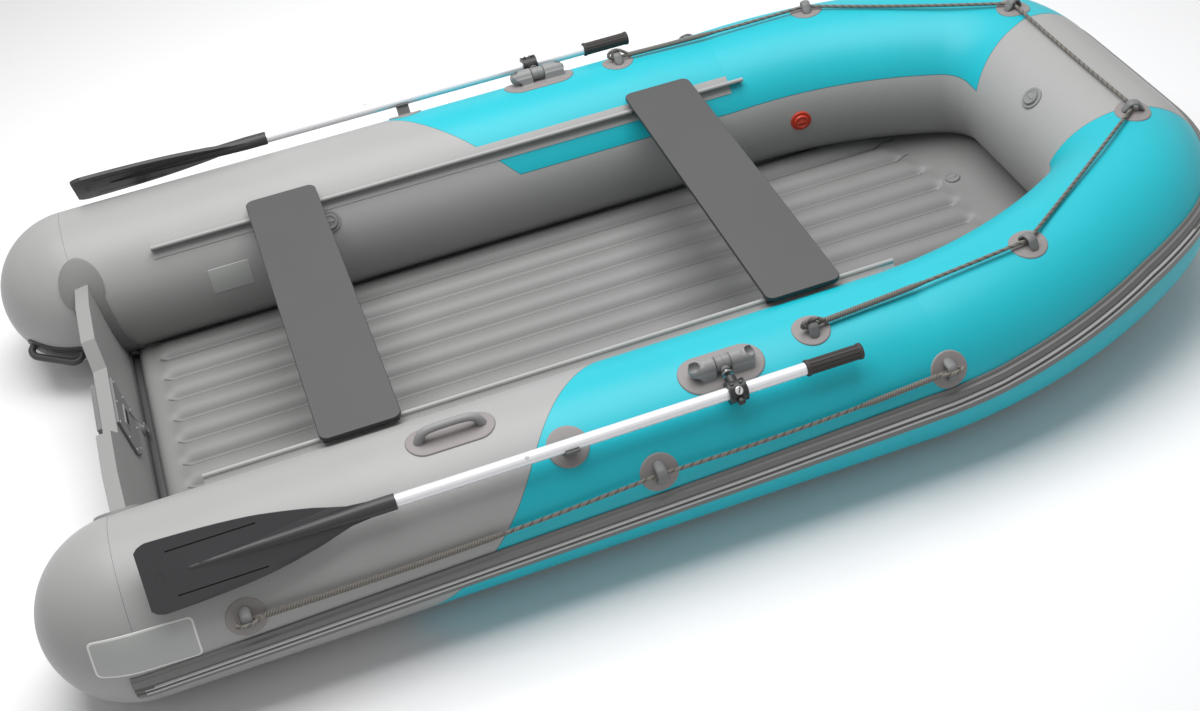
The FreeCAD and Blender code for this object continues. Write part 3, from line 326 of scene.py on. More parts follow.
def lay_cloth(piece):
    """A map in metres, run along the tube and way round it, that the cut panels follow."""
    mesh = piece.data
    cloth = mesh.uv_layers.new(name="cloth")
    places = [place_on_tube(vertex.co) for vertex in mesh.vertices]
    for face in mesh.polygons:
        middle = place_on_tube(face.center)[1]
        for corner in face.loop_indices:
            length, angle = places[mesh.loops[corner].vertex_index]
            if angle - middle > pi:
                angle -= 2 * pi
            elif angle - middle < -pi:
                angle += 2 * pi
            cloth.data[corner].uv = (length, angle * tube_radius)


def curve_of(value, points):
    """A smooth function through a few points, whose inputs and outputs lie between 0 and 1."""
    bend = wired(value.id_data, "FloatCurve", {"Value": value})
    line = bend.mapping.curves[0]
    while len(line.points) < len(points):
        line.points.new(0.5, 0.5)
    for handle, (x, y) in zip(line.points, points):
        handle.location = (x, y)
    bend.mapping.update()
    return bend.outputs["Value"]


def blend_of(share, first, second, way="MIX"):
    """A mix of two colours; each is a socket or a colour, and so is the share."""
    return wired(tree_of((share, first, second)), "Mix", {"Factor": share, "A": first, "B": second},
                 data_type="RGBA", blend_type=way).outputs["Result"]


def grain(shader, colour, clouding, scale, depth, stretch=(1, 1, 1)):
    """Faint clouding of a colour, and the fine grain or weave under the skin."""
    tree = shader.id_data
    spot = wired(tree, "TexCoord", {}).outputs["Object"]
    drawn = wired(tree, "Mapping", {"Vector": spot, "Scale": stretch}).outputs["Vector"]
    cloud = wired(tree, "TexNoise", {"Vector": drawn, "Scale": 6, "Detail": 6})
    shade = blend_of(cloud.outputs["Fac"], (1 - 2 * clouding,) * 3 + (1,), white)
    tree.links.new(blend_of(1.0, colour, shade, "MULTIPLY"), shader.inputs["Base Color"])
    threads = wired(tree, "TexNoise", {"Vector": drawn, "Scale": scale, "Detail": 2})
    bump = wired(tree, "Bump",
                 {"Strength": 0.3, "Distance": depth, "Height": threads.outputs["Fac"]})
    tree.links.new(bump.outputs["Normal"], shader.inputs["Normal"])


def finish_of(name, paint, roughness, clouding=0.05, scale=900, depth=0.0003, stretch=(1, 1, 1),
              **shine):
    """A solid-coloured finish with its grain: moulded plastic, rubber, paint, cloth or metal."""
    material, shader = new_material(name, tone(*paint), roughness, **shine)
    grain(shader, tone(*paint), clouding, scale, depth, stretch)
    return material


grey_cloth = tone(163, 163, 162)
turquoise_cloth = tone(26, 182, 197)
seam_shadow = tone(44, 74, 78)
seam_half = 0.0011
inner_limit = -67
outer_limit = 150
stern_border = [(-75, -0.090), (-36, -0.217), (10, -0.367), (66, -0.513), (121, -0.700),
                (150, -0.79)]


def tube_cloth(name, bow_top, bow_inside):
    """Coated fabric with its turquoise panels, which end in a border aft and one at the bow."""
    material, shader = new_material(name, grey_cloth, 0.42)
    laid = wired(shader.id_data, "UVMap", {}, uv_map="cloth")
    split = wired(shader.id_data, "SeparateXYZ", {0: laid.outputs[0]})
    run, round_ = split.outputs["X"], split.outputs["Y"]
    angle = maths("MULTIPLY", round_, 180 / pi / tube_radius)
    aft = curve_of(maths("MULTIPLY_ADD", angle, 1 / 360, 0.5),
                   [(degrees / 360 + 0.5, length + 1) for degrees, length in stern_border])
    inward = maths("DIVIDE", maths("MULTIPLY", angle, -1.0), -inner_limit)
    fore = maths("MULTIPLY_ADD", maths("MAXIMUM", inward, 0.0), bow_inside - bow_top, bow_top)
    edge = maths("SUBTRACT", run, maths("SUBTRACT", aft, 1.0))
    for border in (maths("SUBTRACT", fore, run),
                   maths("SUBTRACT", round_, radians(inner_limit) * tube_radius),
                   maths("SUBTRACT", radians(outer_limit) * tube_radius, round_)):
        edge = maths("MINIMUM", edge, border)
    panels = blend_of(maths("GREATER_THAN", edge, 0.0), grey_cloth, turquoise_cloth)
    cone = maths("ABSOLUTE", maths("SUBTRACT", run, stern_seam))
    seam = maths("MAXIMUM", maths("LESS_THAN", maths("ABSOLUTE", edge), seam_half),
                 maths("LESS_THAN", cone, seam_half / 2))
    grain(shader, blend_of(maths("MULTIPLY", seam, 0.75), panels, seam_shadow), 0.05, 850, 0.0005)
    return material


def painted(piece, finish):
    """A piece with its finish, beside the finishes that it has."""
    piece.data.materials.append(finish)
    return piece


def fitted(piece, finish, slot, *replaced, body="hull"):
    """Give a piece its finish and body, and let it stand for its CAD nodes. The slot is not used.
    """
    if finish:
        piece.data.materials.clear()
        painted(piece, finish)
    if replaced:
        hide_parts(*replaced)
    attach(piece, body)
    return piece


cloth_port = tube_cloth("tube_cloth_port", 1.497, 1.57)
cloth_starboard = tube_cloth("tube_cloth_starboard", 1.449, 1.43)
painted(tube_bow, cloth_starboard)
for face in tube_bow.data.polygons:
    face.material_index = 0 if face.center.y < 0 else 1
for piece, node, cloth in (
        (tube_side_port, "side_tube_port", cloth_port),
        (tube_bend_port, "shoulder_tube_port", cloth_port),
        (tube_side_starboard, "side_tube_starboard", cloth_starboard),
        (tube_bend_starboard, "shoulder_tube_starboard", cloth_starboard),
        (tube_bow, "bow_tube", cloth_port)):
    lay_cloth(piece)
    fitted(painted(piece, cloth), None, "hull_turquoise", node)


def tube_point(length, angle, stand=0.0):
    """The point of the port tube at a length along it and an angle from its top, in radians."""
    reach = tube_radius + stand
    lean = (tube_radius + reach * cos(angle)) * tan(bow_rise / 2)
    lifted = length > fold_x - lean
    if lifted:
        length += 2 * lean * max(1 - (length - fold_x + lean) / fold_easing, 0.0)
    middle = Vector((length, tube_offset, tube_radius))
    outward = Vector((0, 1, 0))
    if length < stern_seam:
        back = min((stern_seam - length) / cap_length, 0.999)
        reach *= sqrt(1 - back * back)
    elif length > corner_end:
        middle = Vector((bow_x, tight_centre.y - (length - corner_end), tube_radius))
        outward = Vector((1, 0, 0))
    elif length > corner_start:
        heading = wide_turn + (length - corner_start) / tight_radius
        outward = Vector((sin(heading), cos(heading), 0))
        middle = tight_centre + tight_radius * outward
    elif length > bend_start:
        heading = (length - bend_start) / wide_radius
        outward = Vector((sin(heading), cos(heading), 0))
        middle = wide_centre + wide_radius * outward
    point = middle + reach * (sin(angle) * outward + cos(angle) * Vector((0, 0, 1)))
    return lift_bow @ point if lifted else point


def tube_normal(length, angle):
    """The way straight out of the cloth."""
    return (tube_point(length, angle, 0.01) - tube_point(length, angle)).normalized()


def tube_seat(length, degrees):
    """The frame of a fitting: its X runs forward along the tube and its Z stands off the cloth."""
    angle = radians(degrees)
    forward = (tube_point(length + 0.004, angle) - tube_point(length - 0.004, angle)).normalized()
    upward = tube_normal(length, angle)
    sideways = upward.cross(forward).normalized()
    axes = Matrix((sideways.cross(upward), sideways, upward)).transposed()
    return Matrix.Translation(tube_point(length, angle)) @ axes.to_4x4()


# Air floor
# An inflated mat of eleven channels welded between two sheets. The welds stop short of both ends,
# where the mat is one smooth pillow, and its edges are tucked against the tubes.
channel_count = 11
channel_pitch = 0.088
channel_rows = 12
mat_aft = -1.247
mat_fore = bow_x - 0.115
mat_low = 0.041
mat_high = 0.066
mat_under = 0.022
channel_fullness = 2.3
pillow_share = 0.72
roll_width = 0.03
roll_drop = 0.016
nose_start = 1.000
nose_climb = 0.042
weld_aft = -1.205
weld_fore = 1.035
weld_fade = 0.036
weld_half = 0.005
weld_shoulder = 0.20
weld_taper = 0.35
mat_tuck = 0.004
mat_cuts = 250
edge_rows = 24


def mat_height(x, y):
    """Top of the mat: an arc over each channel, fading where the welds end."""
    across_channel = (y / channel_pitch + channel_count / 2) % 1.0 * 2 - 1
    arc = 1 - abs(across_channel) ** channel_fullness
    fore_end = weld_fore - weld_taper * max(abs(y) - weld_shoulder, 0.0)
    depth = min(max(min((x - weld_aft) / weld_fade, (fore_end - x) / weld_fade), 0.0), 1.0)
    depth = depth * depth * (3 - 2 * depth)
    crown = mat_low + (mat_high - mat_low) * arc
    smooth = mat_low + (mat_high - mat_low) * pillow_share
    roll = min(max((x - mat_aft) / roll_width, 0.0), 1.0)
    height = smooth + (crown - smooth) * depth - roll_drop * (1 - sqrt(1 - (1 - roll) ** 2))
    if x > nose_start:
        height += nose_climb * (x - nose_start) / (bow_x - nose_start)
    return height


def stand_on_tube(point):
    """How far a point stands off the tubes' skin, on either side of the boat."""
    length, outward, upward = laid_out(point)
    return hypot(outward, upward) - tube_radius


def tube_foot(x, height):
    """Half the width left between the tubes at a height above the floor."""
    low, high = 0.0, 0.80
    for halving in range(24):
        middle = (low + high) / 2
        if stand_on_tube(Vector((x, middle, height))) < 0:
            high = middle
        else:
            low = middle
    return low


mat_tone = tone(137, 137, 136)
mat_cloth, mat_shader = new_material("floor_cloth", mat_tone, 0.46)
mat_spot = wired(mat_shader.id_data, "TexCoord", {})
mat_split = wired(mat_shader.id_data, "SeparateXYZ", {0: mat_spot.outputs["Object"]})
# Painted shade: a dark line is painted along each weld valley between the channels, where shade
# falls in the crease.
weld_turn = maths("FRACT", maths("MULTIPLY_ADD", mat_split.outputs["Y"], 1 / channel_pitch, 100.0))
from_weld = maths("MULTIPLY", maths("ABSOLUTE", maths("SUBTRACT", weld_turn, 0.5)), channel_pitch)
along_weld = maths("MINIMUM", maths("SUBTRACT", mat_split.outputs["X"], weld_aft + 0.012),
                   maths("SUBTRACT", weld_fore - 0.030, mat_split.outputs["X"]))
crease_shade_share = maths("MULTIPLY", maths("MULTIPLY_ADD", from_weld, -1 / weld_half, 1.0), 0.8)
crease_shade_share = maths("MULTIPLY", maths("MAXIMUM", crease_shade_share, 0.0),
                   maths("GREATER_THAN", along_weld, 0.0))
grain(mat_shader, blend_of(crease_shade_share, mat_tone, tone(62, 62, 62)), 0.06, 850, 0.0006)

rows = channel_count * channel_rows + edge_rows
select_only()
bpy.ops.mesh.primitive_grid_add(x_subdivisions=mat_cuts, y_subdivisions=rows, size=1)
air_mat = named("air_mat")
widths = {}
for vertex in air_mat.data.vertices:
    vertex.co.x = mat_aft + (mat_fore - mat_aft) * (vertex.co.x + 0.5)
    vertex.co.y *= rows * (channel_pitch / channel_rows)
    x = round(vertex.co.x, 5)
    if x not in widths:
        widths[x] = tube_foot(x, mat_height(x, 0.4) - mat_tuck)
    y = max(min(vertex.co.y, widths[x]), -widths[x])
    vertex.co.y = y
    vertex.co.z = mat_height(x, y)
edit_all()
bpy.ops.mesh.remove_doubles(threshold=0.0004)
draw_out(0, 0, -0.03)
finish_shell(air_mat)
for vertex in air_mat.data.vertices:
    vertex.co.z = max(vertex.co.z, mat_under)
fitted(air_mat, mat_cloth, "floor_grey", "floor_panel")


# Transom
# A laminated board, painted grey and raked aft, closes the stern. Its ends stand in keyhole
# mouldings glued to the tubes, and two plates riveted through its notch take the motor's clamps.
def at(x, y=0.0, z=0.0):
    """The frame of a spot, unturned."""
    return Matrix.Translation((x, y, z))


def tilt(degrees, axis):
    """A turn about one of the axes."""
    return Matrix.Rotation(radians(degrees), 4, axis)


board_place = at(-1.267, 0, 0.026) @ tilt(-6.5, "Y")
face_forward = tilt(90, "Y")


def joined(name, *pieces):
    """Pieces of one making, as one object."""
    select_only(pieces[0])
    for piece in pieces:
        piece.select_set(True)
    bpy.ops.object.join()
    whole = named(name)
    whole.select_set(False)
    return whole


def from_node(node, name):
    """A piece with the shape of a CAD node: its loose triangles merged into whole faces."""
    piece = added(name, nodes[node].data.copy())
    select_only(piece)
    bpy.ops.mesh.customdata_custom_splitnormals_clear()
    edit_all()
    bpy.ops.mesh.remove_doubles(threshold=merging)
    bpy.ops.mesh.dissolve_limited(angle_limit=radians(1.5))
    bpy.ops.object.mode_set(mode="OBJECT")
    return piece


def modified(piece, kind, **settings):
    """Apply one modifier to the active piece."""
    step = piece.modifiers.new(kind.lower(), kind)
    for setting, value in settings.items():
        setattr(step, setting, value)
    bpy.ops.object.modifier_apply(modifier=step.name)


def eased(piece, width, steps=2, sharp=35, crease=50):
    """Round the sharp edges as a mould or sandpaper leaves them, and keep the flats flat."""
    select_only(piece)
    modified(piece, "BEVEL", width=width, segments=steps, limit_method="ANGLE",
             angle_limit=radians(sharp))
    bpy.ops.object.shade_smooth_by_angle(angle=radians(crease))
    modified(piece, "WEIGHTED_NORMAL", keep_sharp=True)
    piece.select_set(False)
    return piece


def moulded(piece, grain_size, softening):
    """Melt a built-up shape into one moulding with soft inner and outer corners."""
    select_only(piece)
    modified(piece, "REMESH", mode="VOXEL", voxel_size=grain_size)
    modified(piece, "SMOOTH", factor=0.5, iterations=softening)
    bpy.ops.object.shade_smooth()
    piece.select_set(False)
    return piece


def dressed(node, name, finish, slot, *easing, body="hull"):
    """A CAD node's own shape with eased edges and a finish, standing for that node."""
    return fitted(eased(from_node(node, name), *easing), finish, slot, node, body=body)


def turned(name, profile, place=Matrix(), sides=40):
    """A round moulding: its section of radii and heights, spun about the axis and set in place."""
    select_only()
    bpy.ops.mesh.primitive_circle_add(vertices=len(profile), radius=0.01)
    piece = named(name)
    for vertex, (reach, height) in zip(piece.data.vertices, profile):
        vertex.co = (reach, 0, height)
    edit_all()
    bpy.ops.mesh.spin(steps=sides, angle=2 * pi, center=(0, 0, 0), axis=(0, 0, 1))
    bpy.ops.mesh.select_all(action="SELECT")
    bpy.ops.mesh.remove_doubles(threshold=merging)
    bpy.ops.mesh.dissolve_degenerate(threshold=0.00001)
    finish_shell(piece, 32)
    piece.data.transform(place)
    return piece


def repeated(pattern, name, places):
    """Copies of one small part, each set in place, as one object; the pattern itself goes."""
    parts = []
    for index, place in enumerate(places):
        part = added("%s_%d" % (name, index), pattern.data.copy())
        part.data.transform(place)
        parts.append(part)
    bpy.data.objects.remove(pattern)
    return joined(name, *parts)


def pad(name, length, width, height, corner, place=Matrix(), rim=0.0008):
    """A flat rounded block that stands on its frame's ground, with a softened upper edge."""
    select_only()
    bpy.ops.mesh.primitive_plane_add(size=1)
    piece = named(name)
    piece.data.transform(Matrix.Diagonal((length, width, 1, 1)))
    edit_all()
    bpy.ops.mesh.bevel(offset=corner, segments=5, affect="VERTICES")
    bpy.ops.mesh.select_all(action="SELECT")
    draw_out(0, 0, height - rim)
    bpy.ops.mesh.inset(thickness=rim)
    bpy.ops.transform.translate(value=(0, 0, rim))
    finish_shell(piece, 50)
    piece.data.transform(place)
    return piece


board_paint = finish_of("board_paint", (150, 150, 149), 0.45, 0.05, 260, 0.0004, (1, 0.25, 1))
holder_pvc = finish_of("holder_pvc", (128, 128, 127), 0.5, 0.05, 700)
plate_plastic = finish_of("plate_plastic", (120, 120, 121), 0.42, 0.04, 500)
dark_pvc = finish_of("dark_pvc", (82, 82, 82), 0.5, 0.05, 700)
# Painted shade: a near-black finish for the pads set in slots and recesses, standing for the shade
# inside them.
slit_black = finish_of("slit_black", (34, 34, 35), 0.6, 0.04, 500, 0.0002)
rivet_white = finish_of("rivet_white", (196, 196, 194), 0.35, 0.03, 300, 0.0001)
dressed("transom_board", "board", board_paint, "board_paint", 0.0035, 3)
for side in ("port", "starboard"):
    dressed("transom_holder_" + side, "holder_" + side, holder_pvc, "fitting_grey", 0.0015)
dressed("motor_plate_inner", "inner_plate", plate_plastic, "plate_plastic", 0.0012)
dressed("motor_plate_outer", "outer_plate", plate_plastic, "plate_plastic", 0.0025, 3)

rivet = turned("rivet", [(0, -0.001), (0.0032, -0.001), (0.0032, 0.0004), (0.0022, 0.0014),
                         (0, 0.0018)], face_forward, 12)
rivet_spots = [(0.078, 0.250), (0.0, 0.250), (-0.078, 0.250), (0.078, 0.195), (-0.078, 0.195),
               (0.078, 0.150), (-0.078, 0.150), (0.040, 0.118), (-0.040, 0.118)]
rivets = repeated(rivet, "plate_rivets", [board_place @ at(0.007, *spot) for spot in rivet_spots])
fitted(rivets, rivet_white, "plate_plastic")
# The dark pad inside the window frame is painted shade in the window's recess.
window_place = board_place @ at(0.0068, 0, 0.194) @ face_forward
fitted(joined("plate_window",
              painted(pad("window_frame", 0.030, 0.074, 0.0024, 0.003, window_place), board_paint),
              painted(pad("window_slot", 0.018, 0.060, 0.0028, 0.002, window_place), slit_black)),
       None, "plate_plastic")

# A dark strip seals the board's foot against the floor, from tube to tube.
foot_width = 2 * (tube_foot(-1.262, 0.05) - 0.004)
fitted(joined("foot_seal",
              pad("foot_strip", 0.034, foot_width, 0.0035, 0.003,
                  board_place @ at(0.0002, 0, 0.020) @ face_forward),
              pad("foot_sill", 0.026, foot_width, 0.004, 0.002, at(-1.256, 0, 0.030))),
       dark_pvc, "fitting_grey")

# The drain valve low on the board: a flanged cap, held to the plate by a thin cord.
valve_grey = finish_of("valve_grey", (138, 138, 138), 0.38, 0.04, 500, 0.0002)
drain = turned("drain_cap", [
    (0, 0), (0.022, 0), (0.022, 0.0035), (0.0205, 0.005), (0.0165, 0.005), (0.0160, 0.0065),
    (0.0150, 0.0115), (0.0135, 0.012), (0.0125, 0.0105), (0.0060, 0.0105), (0.0050, 0.0116),
    (0, 0.0118)], board_place @ at(0, 0.122, 0.042) @ face_forward)
fitted(drain, plate_plastic, "valve_plastic", "drain_valve")
leash_route = [board_place @ Vector(spot) for spot in (
    (0.0078, 0.052, 0.168), (0.0095, 0.060, 0.140), (0.0085, 0.080, 0.104), (0.0120, 0.100, 0.078),
    (0.0125, 0.113, 0.052))]


def new_line(name, kind, points, radii=None):
    """A curve with one line through or by its points."""
    data = bpy.data.curves.new(name, "CURVE")
    data.dimensions = "3D"
    add_line(data, kind, points, radii)
    return data


def add_line(data, kind, points, radii=None):
    """One more line of a curve, thicker or thinner where radii say so."""
    line = data.splines.new(kind)
    line.points.add(len(points) - 1)
    for control, point, radius in zip(line.points, points, radii or [1] * len(points)):
        control.co = (*point, 1)
        control.radius = radius
    if kind == "NURBS":
        line.order_u = 3
        line.use_endpoint_u = True


def as_piece(name, data, place=Matrix()):
    """A curve made into a smooth mesh piece."""
    shape = bpy.data.objects.new(name, data)
    piece = added(name, bpy.data.meshes.new_from_object(shape))
    bpy.data.objects.remove(shape)
    piece.data.transform(place)
    for face in piece.data.polygons:
        face.use_smooth = True
    return piece


def bent_bar(name, points, radii, squeeze=1.0, place=Matrix()):
    """A bar that follows a bent line in its own XZ plane, thicker or thinner along it."""
    bar = new_line(name, "NURBS", points, radii)
    bar.resolution_u = 8
    bar.bevel_depth = 1
    bar.bevel_resolution = 4
    bar.use_fill_caps = True
    return as_piece(name, bar, place @ Matrix.Diagonal((1, squeeze, 1, 1)))


fitted(bent_bar("drain_leash", leash_route, [0.0011] * 5), valve_grey, "valve_plastic")


# Rub rail
# A thick extruded strip glued round the outside from one stern cone to the other, with two raised
# beads, their tops painted light as a painted highlight. It climbs a little on its way forward.
rail_rubber = finish_of("rub_rail_rubber", (112, 111, 110), 0.36, 0.04, 600, 0.0002)
# Painted highlight: a pale finish for the tops of the raised beads.
bead_highlight_paint = finish_of("rub_rail_bead", (196, 196, 195), 0.32, 0.03, 600, 0.0002)
rub_profile = [
    (-0.0385, 0.0000), (-0.0385, 0.0045), (-0.0370, 0.0060), (-0.0170, 0.0078), (-0.0155, 0.0105),
    (-0.0130, 0.0135), (-0.0105, 0.0140), (-0.0080, 0.0125), (-0.0065, 0.0092), (-0.0025, 0.0088),
    (-0.0010, 0.0115), (0.0015, 0.0140), (0.0040, 0.0135), (0.0062, 0.0105), (0.0075, 0.0085),
    (0.0190, 0.0120), (0.0260, 0.0110), (0.0290, 0.0060), (0.0370, 0.0050), (0.0385, 0.0035),
    (0.0385, 0.0000)]
rub_aft = -1.372
rub_steps = 150
bead_foot = 0.0118
climb_marks = [(rub_aft, 99), (0.0, 90), (0.65, 84), (1.06, 74), (half_way_round, 72)]


def rub_angle(length):
    """The rail's middle, in degrees from the tube's top: it climbs from stern to bow."""
    for (x0, a0), (x1, a1) in zip(climb_marks, climb_marks[1:]):
        if length <= x1:
            return a0 + (a1 - a0) * max((length - x0) / (x1 - x0), 0.0)
    return a1


select_only()
bpy.ops.mesh.primitive_circle_add(vertices=len(rub_profile), radius=0.02, fill_type="NOTHING")
rub_strip = named("rub_strip")
for vertex, (round_, stand) in zip(rub_strip.data.vertices, rub_profile):
    vertex.co = (0, round_, stand)
edit_all()
for step in range(rub_steps):
    draw_out(1, 0, 0)
bpy.ops.object.mode_set(mode="OBJECT")
for vertex in rub_strip.data.vertices:
    length = rub_aft + (half_way_round - rub_aft) * vertex.co.x / rub_steps
    angle = radians(rub_angle(length)) - vertex.co.y / tube_radius
    vertex.co = tube_point(length, angle, vertex.co.z)
rub_strip = joined("rub_strip", rub_strip, across(rub_strip, "rub_twin"))
finish_shell(rub_strip, 38)
fitted(rub_strip, rail_rubber, "rub_rail_pvc", "rub_rail")
# Faces that stand higher than the beads' foot get the pale finish: a painted highlight on the
# beads.
painted(rub_strip, bead_highlight_paint)
for face in rub_strip.data.polygons:
    if stand_on_tube(face.center) > bead_foot:
        face.material_index = 1


# Seat rails
# An extruded rail is welded to the inner side of each tube: a strip, a lip and the bead that the
# seats' sliders grip.
rail_pvc = finish_of("rail_pvc", (164, 164, 163), 0.36, 0.04, 600, 0.0002)
for side in ("port", "starboard"):
    dressed("seat_rail_" + side, "rail_" + side, rail_pvc, "fitting_grey", 0.0008, 1, 50)


# Seats
# Two plywood planks with a dark pebbled skin; their upright sides are painted darker, as painted
# shade. Each hangs on a slotted slider at either end, so that it moves along the boat.
seat_skin = finish_of("seat_skin", (76, 76, 76), 0.5, 0.05, 420, 0.0006)
slider_plastic = finish_of("slider_plastic", (66, 66, 67), 0.45, 0.04, 600)
side_shade_paint = finish_of("seat_edge", (46, 46, 47), 0.4, 0.04, 500, 0.0002)
for node, body in (("seat_aft", "aft_seat"), ("seat_forward", "forward_seat")):
    plank = dressed(node, body + "_plank", seat_skin, "seat_dark", 0.0028, 3, body=body)
    painted(plank, side_shade_paint)
    # Upright faces get the darker finish: painted shade on the planks' sides.
    for face in plank.data.polygons:
        if abs(face.normal.z) < 0.8:
            face.material_index = 1
    dressed(node + "_sliders", body + "_sliders", slider_plastic, "slider_plastic", 0.0008, 1, 50,
            body=body)


# Oarlocks
# A long rubber patch carries two bored lugs with scooped ends. Between them a barrel rolls along
# the boat, and its threaded steel pin goes through the oar's collar into a slotted knob.
lock_x = 0.032
lock_angle = 16
lock_centre = Vector((lock_x, 0.683672, 0.429051))
collar_centre = Vector((lock_x, 0.766055, 0.411007))
pin_way = (collar_centre - lock_centre).normalized()
lug_normal = Vector((0, sin(radians(lock_angle)), cos(radians(lock_angle))))
lug_reach = 0.060
lug_end_radius = 0.0196
bowl_reach = 0.0665
bowl_lift = 0.0125
bowl_radius = 0.0137
bore_radius = 0.0094
bore_length = 0.103
pin_start = 0.0175
pin_edge = 0.0062
knob_start = 0.060
lug_rubber = finish_of("lug_rubber", (140, 140, 140), 0.45, 0.04, 700)
patch_cloth = finish_of("patch_cloth", (141, 136, 135), 0.5, 0.04, 850, 0.0004)
barrel_nylon = finish_of("barrel_nylon", (134, 134, 134), 0.4, 0.04, 500, 0.0002)
knob_nylon = finish_of("knob_nylon", (42, 42, 43), 0.36, 0.04, 500, 0.0002)
steel = finish_of("steel", (198, 198, 200), 0.28, 0.05, 300, 0.0001, specular=0.5, metallic=0.9)


def cloth_patch(name, length, width, corner, height, at_length, degrees, turn=0.0, soften=0.0030):
    """A cut cloth patch glued on the port tube, with rounded corners and a soft edge."""
    select_only()
    bpy.ops.mesh.primitive_grid_add(x_subdivisions=36, y_subdivisions=28, size=2)
    patch = named(name)
    half_x, half_y, sunk = length / 2, width / 2, 0.0006
    for vertex in patch.data.vertices:
        along = half_x * (1.5 * vertex.co.x - 0.5 * vertex.co.x ** 3)
        sideways = half_y * (1.5 * vertex.co.y - 0.5 * vertex.co.y ** 3)
        inward = min(half_x - abs(along), half_y - abs(sideways))
        over_x = abs(along) - (half_x - corner)
        over_y = abs(sideways) - (half_y - corner)
        if over_x > 0 and over_y > 0:
            pull = max(over_x, over_y) / hypot(over_x, over_y)
            along = copysign(half_x - corner + over_x * pull, along)
            sideways = copysign(half_y - corner + over_y * pull, sideways)
        share = min(max(inward / soften, 0.0), 1.0)
        vertex.co = (along, sideways, -sunk + (height + sunk) * sqrt(1 - (1 - share) ** 2))
    patch.data.transform(tilt(turn, "Z"))
    for vertex in patch.data.vertices:
        along, round_, stand = vertex.co
        vertex.co = tube_point(at_length + along, radians(degrees) - round_ / tube_radius, stand)
    finish_shell(patch)
    return patch


def both_sides(name, *pieces):
    """Port pieces with their starboard twins, as one object."""
    return joined(name, *pieces, *[across(piece, piece.name + "_twin") for piece in pieces])


def hollowed(piece, tools):
    """Cut some plain shapes out of a moulding and leave the rims crisp."""
    select_only(piece)
    for tool in tools:
        modified(piece, "BOOLEAN", operation="DIFFERENCE", solver="EXACT", object=tool)
        bpy.data.objects.remove(tool)
    bpy.ops.object.shade_smooth_by_angle(angle=radians(40))
    piece.select_set(False)
    return piece


def ball(place, radius):
    """A round former, to build a lug's end up or to scoop its bowl out."""
    select_only()
    bpy.ops.mesh.primitive_uv_sphere_add(segments=40, ring_count=24, radius=radius, location=place)
    return bpy.context.object


def facing(spot, way):
    """The frame of a small fitting whose Z points some way."""
    return Matrix.Translation(spot) @ way.to_track_quat("Z", "X").to_matrix().to_4x4()


for side, way in (("port", 1), ("starboard", -1)):
    to_side = Vector((1, way, 1))
    lug_ends = [ball((lock_centre + Vector((reach, 0, 0))) * to_side, lug_end_radius)
                for reach in (-lug_reach, lug_reach)]
    lugs = joined("lock_lugs_" + side, from_node("oarlock_base_" + side, "lock_lugs_" + side),
                  *lug_ends)
    moulded(lugs, 0.0018, 12)
    bowls = [ball((lock_centre + Vector((reach, 0, 0)) + lug_normal * bowl_lift) * to_side,
                  bowl_radius) for reach in (-bowl_reach, bowl_reach)]
    bpy.ops.mesh.primitive_cylinder_add(vertices=48, radius=bore_radius, depth=bore_length,
                                        location=lock_centre * to_side, rotation=face_aft)
    hollowed(lugs, [bpy.context.object] + bowls)
    fitted(lugs, lug_rubber, "fitting_grey", "oarlock_base_" + side)
    barrel = dressed("oarlock_barrel_" + side, "lock_barrel_" + side, barrel_nylon,
                     "barrel_plastic", 0.0010, 2, 40, body=side + "_barrel")
    painted(painted(barrel, steel), knob_nylon)
    for face in barrel.data.polygons:
        along = Vector((face.center.x, abs(face.center.y), face.center.z)) - lock_centre
        reach = along.dot(pin_way)
        if reach > knob_start:
            face.material_index = 2
        elif reach > pin_start and (along - reach * pin_way).length < pin_edge:
            face.material_index = 1
fitted(both_sides("lock_patches", cloth_patch(
    "lock_patch", 0.205, 0.100, 0.050, 0.0036, lock_x, lock_angle)), patch_cloth, "fitting_grey")

pin_frame = facing(lock_centre, pin_way)
rings = repeated(
    turned("barrel_ring", [(0.0160, -0.0012), (0.0176, -0.0008), (0.0180, 0), (0.0176, 0.0008),
                           (0.0160, 0.0012)], face_forward),
    "barrel_rings_port",
    [Matrix.Translation(lock_centre + Vector((shift, 0, 0))) for shift in (-0.0145, 0, 0.0145)])
necks = repeated(
    turned("neck", [(0.0050, -0.0016), (0.0092, -0.0016), (0.0100, 0), (0.0092, 0.0016),
                    (0.0050, 0.0016)], sides=28),
    "pin_necks_port", [pin_frame @ at(0, 0, rise) for rise in (0.0182, 0.0222)])
threads = repeated(
    turned("thread", [(0.0045, -0.0007), (0.0056, 0), (0.0045, 0.0007)], sides=20),
    "pin_thread_port", [pin_frame @ at(0, 0, 0.0250 + 0.0019 * turn) for turn in range(4)])
# The dark pad on the knob is painted shade in its slot.
knob_slot = pad("knob_slot_port", 0.0030, 0.0150, 0.0006, 0.0012,
                facing(collar_centre + pin_way * 0.0330, pin_way), 0.0002)
barrel_trim = joined("barrel_trim_port", painted(rings, barrel_nylon), painted(necks, barrel_nylon),
                     painted(threads, steel), painted(knob_slot, slit_black))
fitted(barrel_trim, None, "barrel_plastic", body="port_barrel")
fitted(across(barrel_trim, "barrel_trim_starboard"), None, "barrel_plastic",
       body="starboard_barrel")


